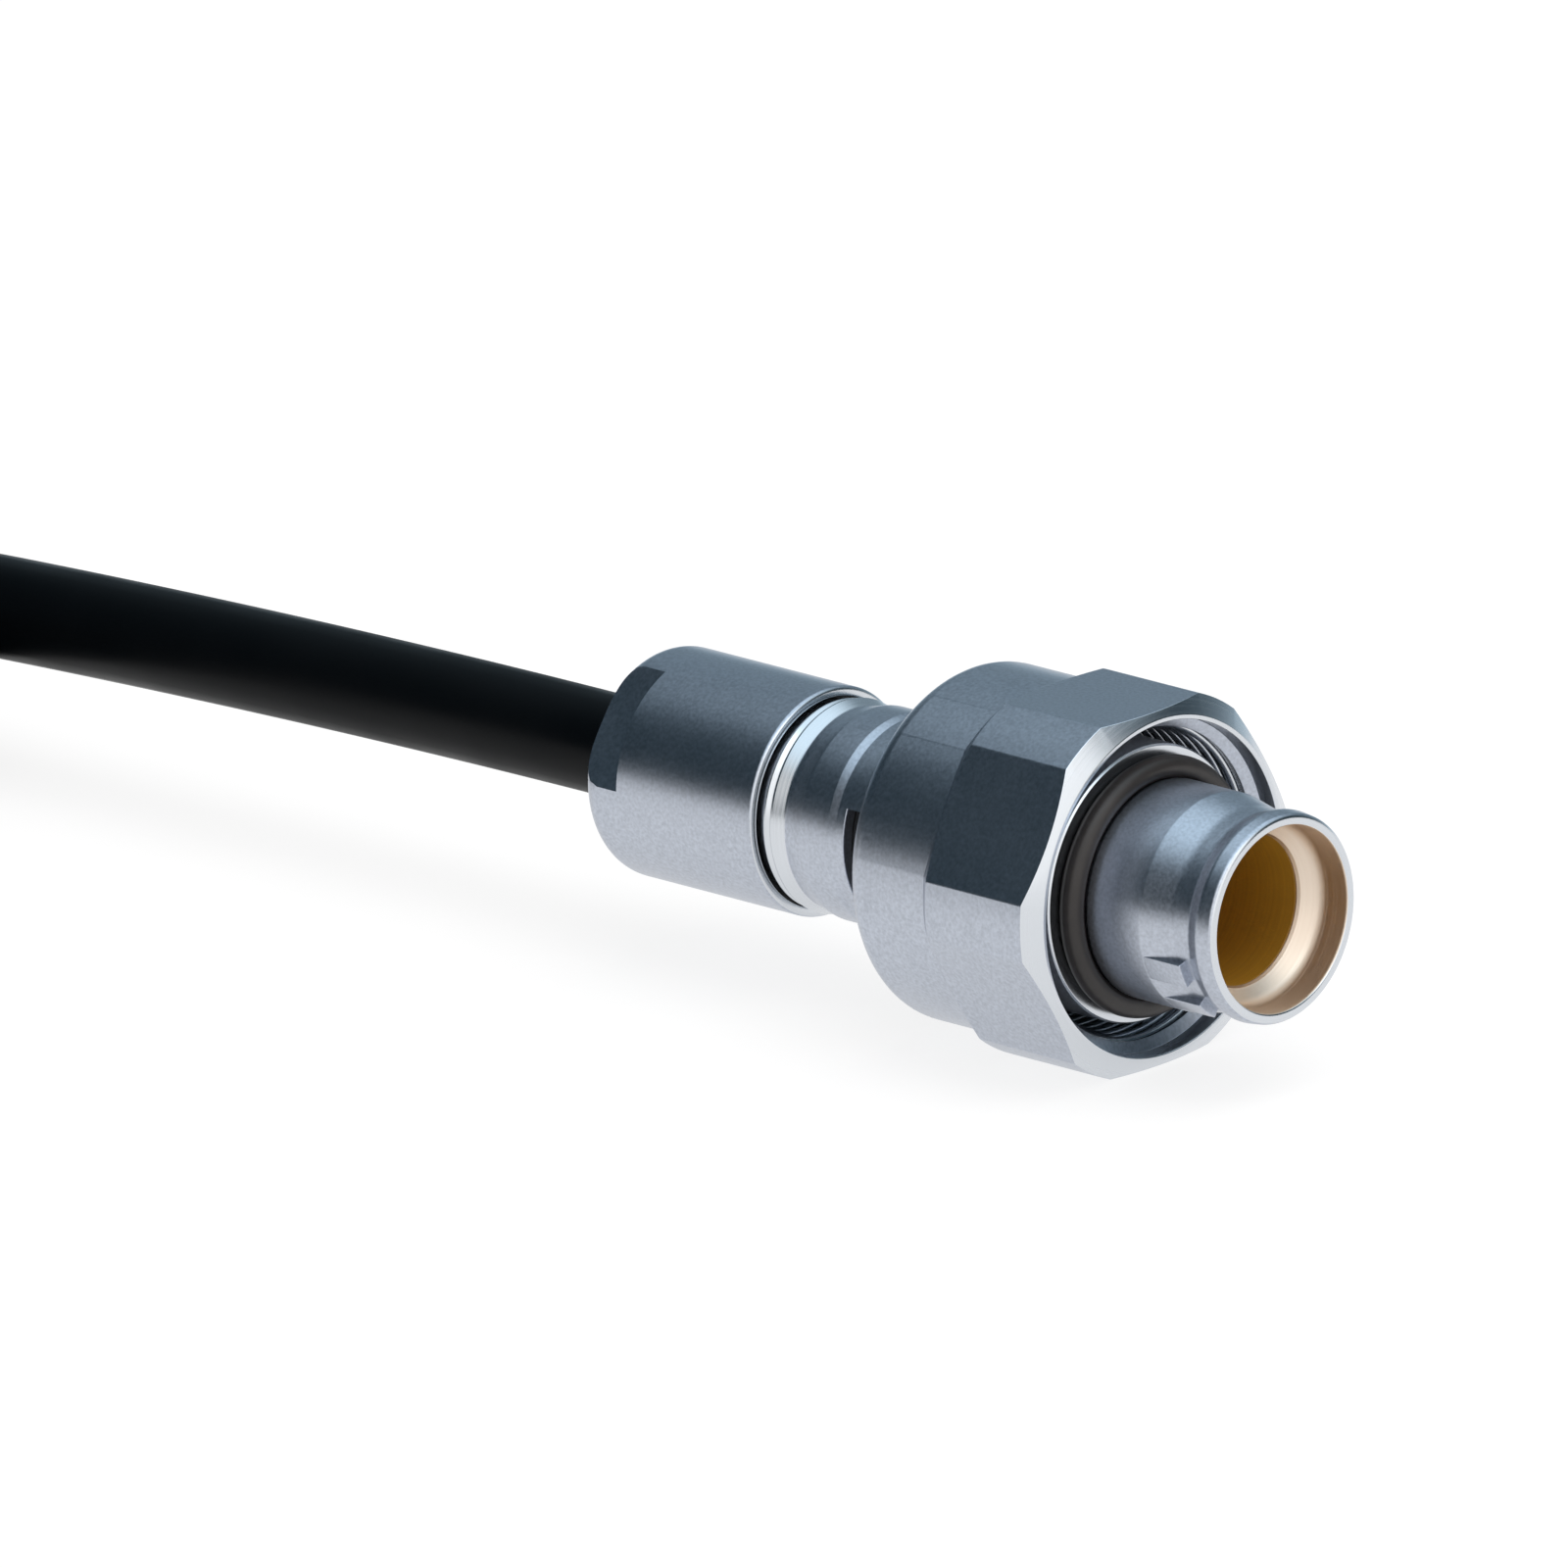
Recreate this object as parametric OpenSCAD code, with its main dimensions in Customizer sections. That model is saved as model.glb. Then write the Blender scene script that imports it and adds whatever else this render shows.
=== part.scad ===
// Waterproof cable plug with a hex coupling nut, a clamped cable and a stored lead.
// The plug's axis is X, the nose points along +X and the nose's front edge is at x = 0.
// Lengths along the axis are measured backwards from that edge.

/* [Nose] */
// Radius of the socket inside the nose's rim
nose_bore_r = 5.2; // [4.9:0.05:5.4]
// Depth of the straight part of that socket
nose_bore_len = 1.85; // [1.2:0.05:2.6]
// Length of the bright cone behind the socket
step_len = 1; // [0.6:0.05:1.4]
// Radius at the inner edge of that cone
step_r = 4.2; // [3.9:0.05:4.4]
// Radius of the guide cylinder at the nose's root
nose_r = 6.1; // [5.9:0.05:6.4]
// How far the rim band lies below the guide cylinder
rim_drop = 0.18; // [0.16:0.01:0.3]
// How far the neck lies below the guide cylinder
neck_drop = 0.42; // [0.32:0.02:0.55]
// How far the tops of the guide keys lie below the guide cylinder
key_drop = 0.17; // [0.16:0.01:0.2]
// Length of the rim band
rim_len = 1.75; // [1.2:0.05:2.4]
// Length of the neck, with its taper
neck_len = 3.55; // [2.8:0.05:5]
// Length of the guide cylinder
root_len = 3.5; // [3:0.1:4.5]
// Width of each of the two guide keys on the neck
key_w = 1.45; // [1:0.05:2]
// Turn of the upper key, in degrees above level on the near side
key_turn = -22; // [-30:0.5:-10]
// Angle between the two keys
key_pitch = 29.5; // [24:0.5:40]

/* [Face seal] */
// Section diameter of the face seal
seal_d = 1.2; // [1:0.05:1.6]
// How far the seal's seat lies below the guide cylinder
seat_drop = 0.2; // [0.16:0.01:0.3]
// Radius of the shoulder behind the seal
flange_r = 7.73; // [7.6:0.01:8]
// Chamfer of the shoulder's front edge
flange_edge = 0.4; // [0.2:0.05:0.5]
// Length of the shoulder
flange_len = 7.9; // [7:0.1:9]

/* [Coupling nut] */
// Distance of the nut's front face behind the nose's front edge
nut_set = 8.75; // [8:0.05:9.2]
// Length of the nut
nut_len = 14.45; // [13.5:0.05:16]
// Length of the hexagon with its front chamfer
hex_len = 7.65; // [6.5:0.05:9]
// Size across the flats
nut_af = 20; // [19.5:0.1:21]
// Radius of the turned corners
corner_r = 10.73; // [10.3:0.01:11]
// Radius of the round collar behind the hexagon
collar_r = 9.95; // [9.6:0.05:10]
// Rounding of the collar's rear edge
collar_round = 1.3; // [0.4:0.05:1.8]
// Outer radius of the narrow front face
face_r = 9.58; // [9.4:0.01:9.8]
// Radius of the mouth
mouth_r = 9.3; // [9.1:0.05:9.4]
// Depth of the mouth
mouth_len = 1; // [0.6:0.05:1.6]
// Radius of the threaded wall
thread_r = 8.95; // [8.7:0.05:9.1]
// Radius of the journal that the nut turns on
journal_r = 5.5; // [5.4:0.05:5.6]

/* [Contacts] */
// Number of contacts
contact_n = 4; // [4]
// Radius of the circle that the contacts stand on
contact_circle_r = 2; // [1.8:0.05:2.2]
// Diameter of a contact pin
pin_d = 1.3; // [1:0.05:1.5]
// Depth of the pins' tips behind the nose's front edge
pin_set = 7; // [6.5:0.1:8]
// Wall of the insulating cup
cup_t = 0.28; // [0.2:0.02:0.4]
// Depth of the cup's floor behind the nose's front edge
cup_floor = 9; // [8.5:0.1:10]
// Thickness of the cup's floor
cup_floor_t = 2; // [1.5:0.1:3]
// Length of the rear insulator
rear_insulator_len = 4; // [3:0.1:5]
// Length of the solder cups behind the rear insulator
solder_len = 3.5; // [2.5:0.1:4.5]
// Diameter of an insulated conductor
wire_d = 1.2; // [1:0.05:1.3]

/* [Rear body] */
// Radius of the slotted skirt behind the nut
skirt_r = 5.85; // [5.75:0.01:5.95]
// Length of the skirt
skirt_len = 4; // [3.5:0.1:5]
// Length of the two spanner slots
slot_len = 3; // [2:0.1:3.4]
// Angle that each slot spans
slot_angle = 100; // [80:1:120]
// Upper edge of the near slot, in degrees above level
slot_turn = 22.8; // [10:0.2:30]
// Radius of the rear body's plain band
body_r = 6; // [5.96:0.01:6.15]
// Length of the plain band
band_len = 2.8; // [2:0.1:4]
// Length of the open stretch between the band and the backnut
open_len = 2.8; // [2.4:0.1:4]
// Radius of the rear body's threaded tail
tail_r = 5.45; // [5.3:0.05:5.6]
// Length of the tail inside the backnut
tail_len = 7.2; // [6:0.1:8]
// Radius of the shell's own tail, which the rear body is screwed on
spigot_r = 5.1; // [5.05:0.01:5.2]
// Length of the shell's own tail
spigot_len = 5.9; // [5:0.1:6.5]

/* [Backnut] */
// Radius of the backnut
backnut_r = 6.41; // [6.2:0.01:6.8]
// Length of the backnut
backnut_len = 12.9; // [12:0.1:14.5]
// Rounding of its rear edge
backnut_round = 1.5; // [0.6:0.05:2]
// Wall of its mouth round the rear seal
mouth_wall = 0.41; // [0.35:0.01:0.5]
// Rounding of its front rim
rim_round = 0.22; // [0.1:0.02:0.3]
// Size across its two spanner flats
backnut_af = 10.65; // [10:0.05:11.4]
// Length of the spanner flats
flat_len = 3.7; // [2.5:0.1:5]
// Turn of the near flat, in degrees above level
flat_turn = 38; // [20:1:60]
// Depth of the mouth that holds the rear seal
seat_len = 1; // [0.8:0.05:1.6]
// Thickness of the rear wall
rear_wall = 1.5; // [1:0.1:2]

/* [Cable] */
// Diameter of the cable
cable_d = 5.7; // [5:0.1:5.8]
// Length of the stored bundle's straight runs
run_len = 85.6; // [85.6:0.2:114]
// Distance of the bundle's near loop centre behind the nose's front edge
bundle_set = 112.8; // [112:0.2:130]
// Thickness of the strap ties
tie_t = 0.5; // [0.3:0.1:0.8]
// Width of the strap ties
tie_w = 12; // [8:1:20]
// Length of the stripped wires at the far end
strip_len = 10; // [6:1:15]

/* [Fits] */
// Radial clearance of the turning nut
run_gap = 0.05; // [0.02:0.01:0.08]
// Axial play of the nut behind the shoulder
nut_play = 0.3; // [0.2:0.05:0.5]
// Gap between the nut and the rear body
skirt_gap = 0.5; // [0.3:0.05:0.8]
// Clearance between pieces that are fixed together
fit = 0.03; // [0.02:0.01:0.05]

/* [Hidden] */
$fn = 96;

// Stations along the axis, measured backwards from the nose's front edge
root_s = rim_len + neck_len;
seat_s = root_s + root_len;
seal_room = 0.23;
seal_s = seat_s + sqrt(pow(seal_d / 2, 2) - pow(seal_d / 2 + fit - seat_drop, 2)) + seal_room;
shoulder_s = seal_s + seal_d / 2 + fit;
flange_s = shoulder_s + flange_len;
web_s = flange_s + nut_play;
nut_end = nut_set + nut_len;
skirt_s = nut_end + skirt_gap;
band_s = skirt_s + skirt_len;
band_end = band_s + band_len;
backnut_s = band_end + open_len;
tail_end = backnut_s + tail_len;
spigot_end = skirt_s + spigot_len;
backnut_end = backnut_s + backnut_len;

// Radii and lengths that follow from the sizes above
seal_seat_r = nose_r - seat_drop;
insert_r = step_r + cup_t;
insert_bore_r = insert_r + fit;
cup_land = 0.3;
cup_s = nose_bore_len + step_len + cup_land;
cup_end = cup_floor + cup_floor_t;
insulator_end = cup_end + rear_insulator_len;
contact_end = insulator_end + solder_len;
collar_len = 1.2;
carrier_r = insert_r;
carrier_t = 0.8;
collet_bore_r = insert_bore_r + 0.07;
collet_s = spigot_end + 1;
collet_tail = 0.4;
collet_end = tail_end + collet_tail;
cable_r = cable_d / 2;
cable_bore_r = cable_r + fit;
cable_s = collet_s - 0.6;
washer_t = 0.4;
backnut_bore_r = tail_r + run_gap;
backnut_seat_r = backnut_r - mouth_wall;
pocket_r = collet_bore_r - 0.2;
pocket_s = tail_end + 0.2;
pocket_end = backnut_end - rear_wall;

// The surface that the plug and its lead lie on is level with the nut's lower flat
floor_z = -nut_af / 2;
lane = cable_d + 0.1;
loop_lanes = 7;
loop_w = loop_lanes * lane;
lower_z = floor_z + tie_t + cable_r;
bundle_x = -bundle_set;
bundle_far_x = bundle_x - run_len;

// The lead sags from the backnut and lies level where it crosses the bundle's near loops
lead_steps = 18;
lead_rest = 0.05;
lead_level_s = 100;
lead_end_z = floor_z + cable_d + cable_r + lead_rest;
function sag(x) = pow(min(1, (x + backnut_end) / (backnut_end - lead_level_s)), 2);
function lead_x(t) = -backnut_end + t * (bundle_x + backnut_end);
lead_points = concat(
    [[-cable_s, 0, 0]],
    [for (i = [0:lead_steps]) let (t = i / lead_steps) [lead_x(t), 0, lead_end_z * sag(lead_x(t))]]);

function arc(cx, cy, r, from, to, steps = 8) =
    [for (i = [0:steps]) let (a = from + (to - from) * i / steps) [cx + r * cos(a), cy + r * sin(a)]];

// Turns a profile of [radius, station] points round the plug's axis
module turned(points) {
    rotate([0, -90, 0]) rotate_extrude() polygon(points);
}

// Straight bore or bar on the axis between two stations
module bar(r, from, to) {
    translate([-to, 0, 0]) rotate([0, 90, 0]) cylinder(r = r, h = to - from);
}

// Ring between two radii and two stations
module ring(inner, outer, from, to) {
    difference() {
        bar(outer, from, to);
        bar(inner, from - 1, to + 1);
    }
}

// Places children that point along +Z at an angle above level on the near side
module at_turn(angle) {
    rotate([90 - angle, 0, 0]) children();
}

// Wedge of the space round the axis, from one angle down by a span
module wedge(top_angle, span, from, to, r) {
    steps = 6;
    rim = [for (i = [0:steps]) let (a = top_angle - span * i / steps) [r * cos(a), r * sin(a)]];
    translate([-to, 0, 0])
        rotate([0, 90, 0])
            rotate(-90)
                linear_extrude(to - from) polygon(concat([[0, 0]], [for (p = rim) [-p[0], p[1]]]));
}

// Shell

module shell_profile() {
    rim_r = nose_r - rim_drop;
    neck_r = nose_r - neck_drop;
    lip = 0.55;
    flare = 0.9;
    rim_slope = 0.3;
    turned(concat(
        [[nose_bore_r, 0]],
        arc(rim_r - lip, lip, lip, -90, 0, 6),
        [[rim_r, rim_len - rim_slope], [neck_r, rim_len], [neck_r, root_s - flare], [nose_r, root_s],
         [nose_r, seat_s], [seal_seat_r, seat_s], [seal_seat_r, shoulder_s],
         [flange_r - flange_edge, shoulder_s], [flange_r, shoulder_s + flange_edge], [flange_r, flange_s], [journal_r, flange_s], [journal_r, skirt_s], [spigot_r, skirt_s],
         [spigot_r, spigot_end], [insert_bore_r, spigot_end], [insert_bore_r, cup_s], [step_r, cup_s],
         [step_r, nose_bore_len + step_len], [nose_bore_r, nose_bore_len]]));
}

module guide_key(angle) {
    key_set = 0.5;
    key_front = rim_len + key_set;
    key_r = nose_r - key_drop;
    key_root = 0.2;
    inner_r = nose_r - neck_drop - key_root;
    intersection() {
        ring(inner_r, key_r, key_front, root_s);
        at_turn(angle) translate([-root_s, -key_w / 2, 0]) cube([neck_len, key_w, nose_r + 1]);
    }
}

module plug_shell() {
    color("slategray") union() {
        shell_profile();
        for (i = [0:1]) guide_key(key_turn - i * key_pitch);
    }
}

module face_seal() {
    color("#33302f")
        translate([-seal_s, 0, 0])
            rotate([0, -90, 0])
                rotate_extrude() translate([seal_seat_r + seal_d / 2 + fit, 0]) circle(d = seal_d);
}

// Coupling nut

module nut_profile() {
    chamfer_len = (corner_r - face_r) * tan(30);
    lead_in = 0.6;
    shoulder = 0.35;
    turned(concat(
        [[mouth_r, nut_set], [face_r, nut_set], [corner_r, nut_set + chamfer_len],
         [corner_r, nut_set + hex_len - shoulder], [collar_r, nut_set + hex_len]],
        arc(collar_r - collar_round, nut_end - collar_round, collar_round, 0, 90, 6),
        [[journal_r + run_gap, nut_end], [journal_r + run_gap, web_s], [thread_r, web_s],
         [thread_r, nut_set + mouth_len + lead_in], [mouth_r, nut_set + mouth_len]]));
}

module coupling_nut() {
    color("silver") intersection() {
        nut_profile();
        translate([-nut_end, 0, 0])
            rotate([30, 0, 0])
                rotate([0, 90, 0]) cylinder(r = nut_af / 2 / cos(30), h = nut_len, $fn = 6);
    }
}

// Contacts and insulators

module at_contact(i) {
    rotate([45 + (i - 1) * 360 / contact_n, 0, 0]) translate([0, 0, contact_circle_r]) children();
}

module contact_holes(r, from, to) {
    for (i = [1:contact_n]) at_contact(i) bar(r, from, to);
}

collar_r_contact = pin_d / 2 + 0.3;
solder_r = pin_d / 2 + 0.15;

module cup_insulator() {
    color("#7a5517") difference() {
        bar(insert_r, cup_s + fit, cup_end);
        bar(step_r, cup_s - 1, cup_floor);
        contact_holes(pin_d / 2 + fit, cup_floor - 1, cup_end + 1);
    }
}

module rear_insulator() {
    color("#6a4a14") difference() {
        bar(insert_r, cup_end, insulator_end);
        contact_holes(solder_r + fit, cup_end - 1, insulator_end + 1);
        contact_holes(collar_r_contact + fit, cup_end - 1, cup_end + collar_len + fit);
    }
}

module contact(i) {
    tip = 0.35;
    cup_depth = solder_len - 1;
    color("goldenrod")
        at_contact(i)
            difference() {
                turned([[0, pin_set], [pin_d / 2 - tip, pin_set], [pin_d / 2, pin_set + tip],
                    [pin_d / 2, cup_end + fit], [collar_r_contact, cup_end + fit],
                    [collar_r_contact, cup_end + collar_len], [solder_r, cup_end + collar_len],
                    [solder_r, contact_end], [0, contact_end]]);
                bar(wire_d / 2 + fit, contact_end - cup_depth, contact_end + 1);
            }
}

module conductor(i) {
    cup_depth = solder_len - 1;
    wire_colours = ["firebrick", "royalblue", "seagreen", "ivory"];
    color(wire_colours[i - 1])
        at_contact(i) bar(wire_d / 2, contact_end - cup_depth + fit, cable_s);
}

module carrier_half(side) {
    split = 0.04;
    color("darkgray") intersection() {
        ring(carrier_r - carrier_t, carrier_r, insulator_end + fit, collet_s - fit);
        translate([-collet_s, -carrier_r, side > 0 ? split : -carrier_r])
            cube([collet_s, 2 * carrier_r, carrier_r - split]);
    }
}

module carrier_half_upper() { carrier_half(1); }

module carrier_half_lower() { carrier_half(-1); }

// Rear body, cable clamp and backnut

module rear_body() {
    step = 0.15;
    edge = 0.1;
    tail_edge = 0.3;
    bead_gap = 0.3;
    bead_len = open_len - bead_gap;
    root_r = body_r - 0.45;
    first_r = body_r - 0.05;
    second_r = body_r - 0.12;
    function bead_s(share) = band_end + share * bead_len;
    color("lightslategray") difference() {
        turned([[spigot_r + fit, skirt_s], [skirt_r - edge, skirt_s], [skirt_r, skirt_s + edge],
            [skirt_r, band_s], [body_r, band_s + step], [body_r, band_end],
            [root_r, bead_s(0.2)], [root_r, bead_s(0.28)],
            [first_r, bead_s(0.6)], [first_r, bead_s(0.66)],
            [root_r, bead_s(0.72)], [second_r, bead_s(0.9)],
            [second_r, bead_s(0.94)], [tail_r, bead_s(1)],
            [tail_r, tail_end - tail_edge], [tail_r - tail_edge, tail_end], [collet_bore_r, tail_end],
            [collet_bore_r, spigot_end + fit], [spigot_r + fit, spigot_end + fit]]);
        for (turn = [0, 180]) wedge(slot_turn + turn, slot_angle, skirt_s - 1, skirt_s + slot_len, skirt_r + 1);
    }
}

module rear_seal() {
    color("#1d1d1f") ring(tail_r + fit, backnut_seat_r - fit, backnut_s + 0.35, backnut_s + seat_len - fit);
}

module clamp_collet() {
    slit = 0.6;
    slit_root = 2.5;
    slit_s = collet_s + slit_root;
    r = collet_bore_r - fit;
    color("gray") difference() {
        turned([[cable_bore_r, collet_s], [r, collet_s], [r, tail_end - 0.6], [pocket_r - 0.3, collet_end],
            [cable_bore_r, collet_end]]);
        for (turn = [0, 90])
            rotate([turn, 0, 0])
                translate([-collet_end - 1, -slit / 2, -backnut_r])
                    cube([collet_end - slit_s + 1, slit, 2 * backnut_r]);
    }
}

module thrust_washer() {
    color("lightgray") ring(cable_bore_r, pocket_r - fit, collet_end + fit, collet_end + washer_t);
}

module gland_seal() {
    color("#262626")
        ring(cable_bore_r, pocket_r - fit, collet_end + washer_t + fit, pocket_end - fit);
}

module backnut() {
    mouth_r = cable_bore_r + 0.1;
    flare = 0.5;
    color("slategray") difference() {
        turned(concat(
            [[backnut_seat_r, backnut_s + rim_round]],
            arc(backnut_r - rim_round, backnut_s + rim_round, rim_round, -90, 0, 4),
            arc(backnut_r - backnut_round, backnut_end - backnut_round, backnut_round, 0, 90, 6),
            [[mouth_r + flare, backnut_end], [mouth_r, backnut_end - flare], [mouth_r, pocket_end],
             [pocket_r, pocket_end], [pocket_r, pocket_s], [backnut_bore_r, pocket_s],
             [backnut_bore_r, backnut_s + seat_len], [backnut_seat_r, backnut_s + seat_len]]));
        for (turn = [0, 180])
            at_turn(flat_turn + turn)
                translate([-backnut_end - 1, -backnut_r, backnut_af / 2])
                    cube([flat_len + 1, 2 * backnut_r, backnut_r]);
    }
}

// Lead and stored bundle

function tube_ring(p, r, sides) =
    [for (i = [0:sides - 1]) [p[0], p[1] + r * cos(360 * i / sides), p[2] + r * sin(360 * i / sides)]];

function tube_sides(rings, sides) =
    [for (k = [0:rings - 2], i = [0:sides - 1])
        let (j = (i + 1) % sides) [k * sides + i, k * sides + j, (k + 1) * sides + j, (k + 1) * sides + i]];

module cable_lead() {
    sides = 12;
    rings = len(lead_points);
    points = [for (p = lead_points) each tube_ring(p, cable_r, sides)];
    front = [for (i = [0:sides - 1]) sides - 1 - i];
    back = [for (i = [0:sides - 1]) (rings - 1) * sides + i];
    color("#15181c") polyhedron(points, concat([front], tube_sides(rings, sides), [back]));
}

module half_ring(x, y, r, width, side, span = 2) {
    translate([x, y]) intersection() {
        difference() {
            circle(r + width / 2);
            circle(r - width / 2);
        }
        translate([side > 0 ? 0 : -2 * r, -2 * r]) square([2 * r, span * 2 * r]);
    }
}

module run_strip(y, width) {
    translate([bundle_far_x, y - width / 2]) square([run_len, width]);
}

module hank_lower() {
    two_lanes = lane + cable_d;
    run_strip(0, two_lanes);
    run_strip(-loop_w, two_lanes);
    half_ring(bundle_far_x, -loop_w / 2, loop_w / 2, two_lanes, -1);
}

module hank_near() {
    half_ring(bundle_x, (lane - loop_w) / 2, (loop_w - lane) / 2, lane + cable_d, 1);
}

module hank_upper() {
    run_strip(0, cable_d);
    run_strip(-loop_w, cable_d);
    half_ring(bundle_far_x, -loop_w / 2, loop_w / 2, cable_d, -1);
    half_ring(bundle_x, -loop_w / 2, loop_w / 2, cable_d, 1, 1);
}

module cable_hank() {
    color("#15181c") {
        translate([0, 0, floor_z]) linear_extrude(cable_d) hank_near();
        translate([0, 0, floor_z + tie_t]) linear_extrude(cable_d) hank_lower();
        translate([0, 0, floor_z + tie_t + cable_d]) linear_extrude(cable_d) hank_upper();
    }
}

module hank_tie(y) {
    half_w = (lane + cable_d) / 2 + fit;
    top_w = cable_r + fit;
    low = tie_t;
    mid = tie_t + cable_d + fit;
    high = tie_t + 2 * cable_d + fit;
    color("#202226")
        translate([bundle_x - run_len / 2 + tie_w / 2, y, floor_z])
            rotate([90, 0, -90])
                linear_extrude(tie_w)
                    difference() {
                        polygon([[-half_w - tie_t, 0], [half_w + tie_t, 0], [half_w + tie_t, mid],
                            [top_w + tie_t, high + tie_t], [-top_w - tie_t, high + tie_t],
                            [-half_w - tie_t, mid]]);
                        polygon([[-half_w, low - fit], [half_w, low - fit], [half_w, mid], [top_w, high],
                            [-top_w, high], [-half_w, mid]]);
                    }
}

module hank_tie_near() { hank_tie(-loop_w); }

module hank_tie_far() { hank_tie(0); }

module lead_wires() {
    wire_circle_r = 1;
    colours = ["firebrick", "royalblue", "seagreen", "ivory"];
    for (i = [0:contact_n - 1])
        color(colours[i])
            translate([bundle_x, -loop_w - lane / 2, lower_z])
                rotate([45 + i * 360 / contact_n, 0, 0])
                    translate([0, 0, wire_circle_r])
                        rotate([0, 90, 0]) cylinder(d = wire_d, h = strip_len);
}

plug_shell();
coupling_nut();
face_seal();
cup_insulator();
rear_insulator();
for (i = [1:contact_n]) contact(i);
for (i = [1:contact_n]) conductor(i);
carrier_half_upper();
carrier_half_lower();
rear_body();
rear_seal();
clamp_collet();
thrust_washer();
gland_seal();
backnut();
cable_lead();
cable_hank();
hank_tie_near();
hank_tie_far();
lead_wires();
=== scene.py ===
"""Looks of a waterproof cable plug with a hex coupling nut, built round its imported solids."""

import math

import bmesh
import bpy
from bpy.props import FloatProperty, FloatVectorProperty, PointerProperty
from mathutils import Matrix, Vector


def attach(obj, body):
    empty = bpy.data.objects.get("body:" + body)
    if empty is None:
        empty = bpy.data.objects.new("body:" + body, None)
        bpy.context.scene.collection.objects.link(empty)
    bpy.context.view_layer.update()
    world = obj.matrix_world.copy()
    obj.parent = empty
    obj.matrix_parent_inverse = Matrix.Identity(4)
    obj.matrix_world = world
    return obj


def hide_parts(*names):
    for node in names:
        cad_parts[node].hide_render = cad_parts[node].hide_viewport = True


bl_info = {
    "name": "Waterproof cable plug",
    "version": (1, 0, 0),
    "blender": (4, 5, 0),
    "location": "3D View > Sidebar > Cable plug",
    "description": "Builds the visible pieces of a waterproof cable plug, its lead and a plain studio",
    "category": "Object",
}

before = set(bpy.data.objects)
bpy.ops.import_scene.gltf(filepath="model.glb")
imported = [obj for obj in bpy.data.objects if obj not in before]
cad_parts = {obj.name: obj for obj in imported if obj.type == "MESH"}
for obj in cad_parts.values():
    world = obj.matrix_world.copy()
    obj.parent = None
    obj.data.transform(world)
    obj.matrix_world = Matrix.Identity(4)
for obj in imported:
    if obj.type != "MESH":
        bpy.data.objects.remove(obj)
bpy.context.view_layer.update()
MM = 0.001
SEGMENTS = 192
THIN_SEGMENTS = 32

# Stations along the plug's axis in millimetres, measured backwards from the nose's front edge
BORE_END = 1.85
CONE_END = 2.85
CUP_START = 2.9
CUP_FLOOR = 9.0
CUP_END = 11.0
PIN_TIP = 7.0
PIN_END = 18.5
RIM_END = 0.95
NECK_START = 1.75
NECK_END = 2.9
KEY_START = 2.25
ROOT_START = 4.95
SEAT_START = 8.8
SEAL_MIDDLE = 9.4
SHOULDER = 10.08
FLANGE_END = 17.98
NUT_FRONT = 8.75
MOUTH_END = 9.8
THREAD_START = 10.2
HEX_END = 16.75
WEB = 18.28
NUT_END = 23.2
SKIRT_START = 23.7
SLOT_END = 26.95
BAND_START = 27.7
SPIGOT_END = 29.6
BAND_END = 30.5
BEAD_END = 33.0
BACKNUT_FRONT = 33.3
SEAT_END = 34.3
TAIL_END = 40.5
POCKET_START = 40.7
FLAT_START = 43.25
POCKET_END = 44.7
BACKNUT_END = 46.2
LEAD_LEVEL = 100.0

# Inner radii, and the gaps round fixed and turning pieces, in millimetres
BODY_BORE = 4.58
POCKET = 4.38
FIT = 0.03
RUN_GAP = 0.05

# Lanes from one side of the stored bundle to the other
LOOP_LANES = 7

# Range that most of a noise pattern's values lie in
NOISE_SPAN = {"From Min": 0.3, "From Max": 0.7}


def linear(code):
    """Linear colour of an sRGB hex value"""
    channels = [int(code[i : i + 2], 16) / 255 for i in (1, 3, 5)]
    return tuple(c / 12.92 if c <= 0.04045 else ((c + 0.055) / 1.055) ** 2.4 for c in channels)


def length(name, description, millimetres):
    return FloatProperty(
        name=name, description=description, default=millimetres * MM, min=0, unit="LENGTH", precision=5
    )


def turn(name, description, degrees):
    return FloatProperty(
        name=name, description=description, default=math.radians(degrees), unit="ROTATION", precision=4
    )


def share(name, description, value):
    return FloatProperty(name=name, description=description, default=value, min=0)


def colour(name, description, code):
    return FloatVectorProperty(
        name=name, description=description, default=linear(code), min=0, max=1, size=3, subtype="COLOR"
    )


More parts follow.
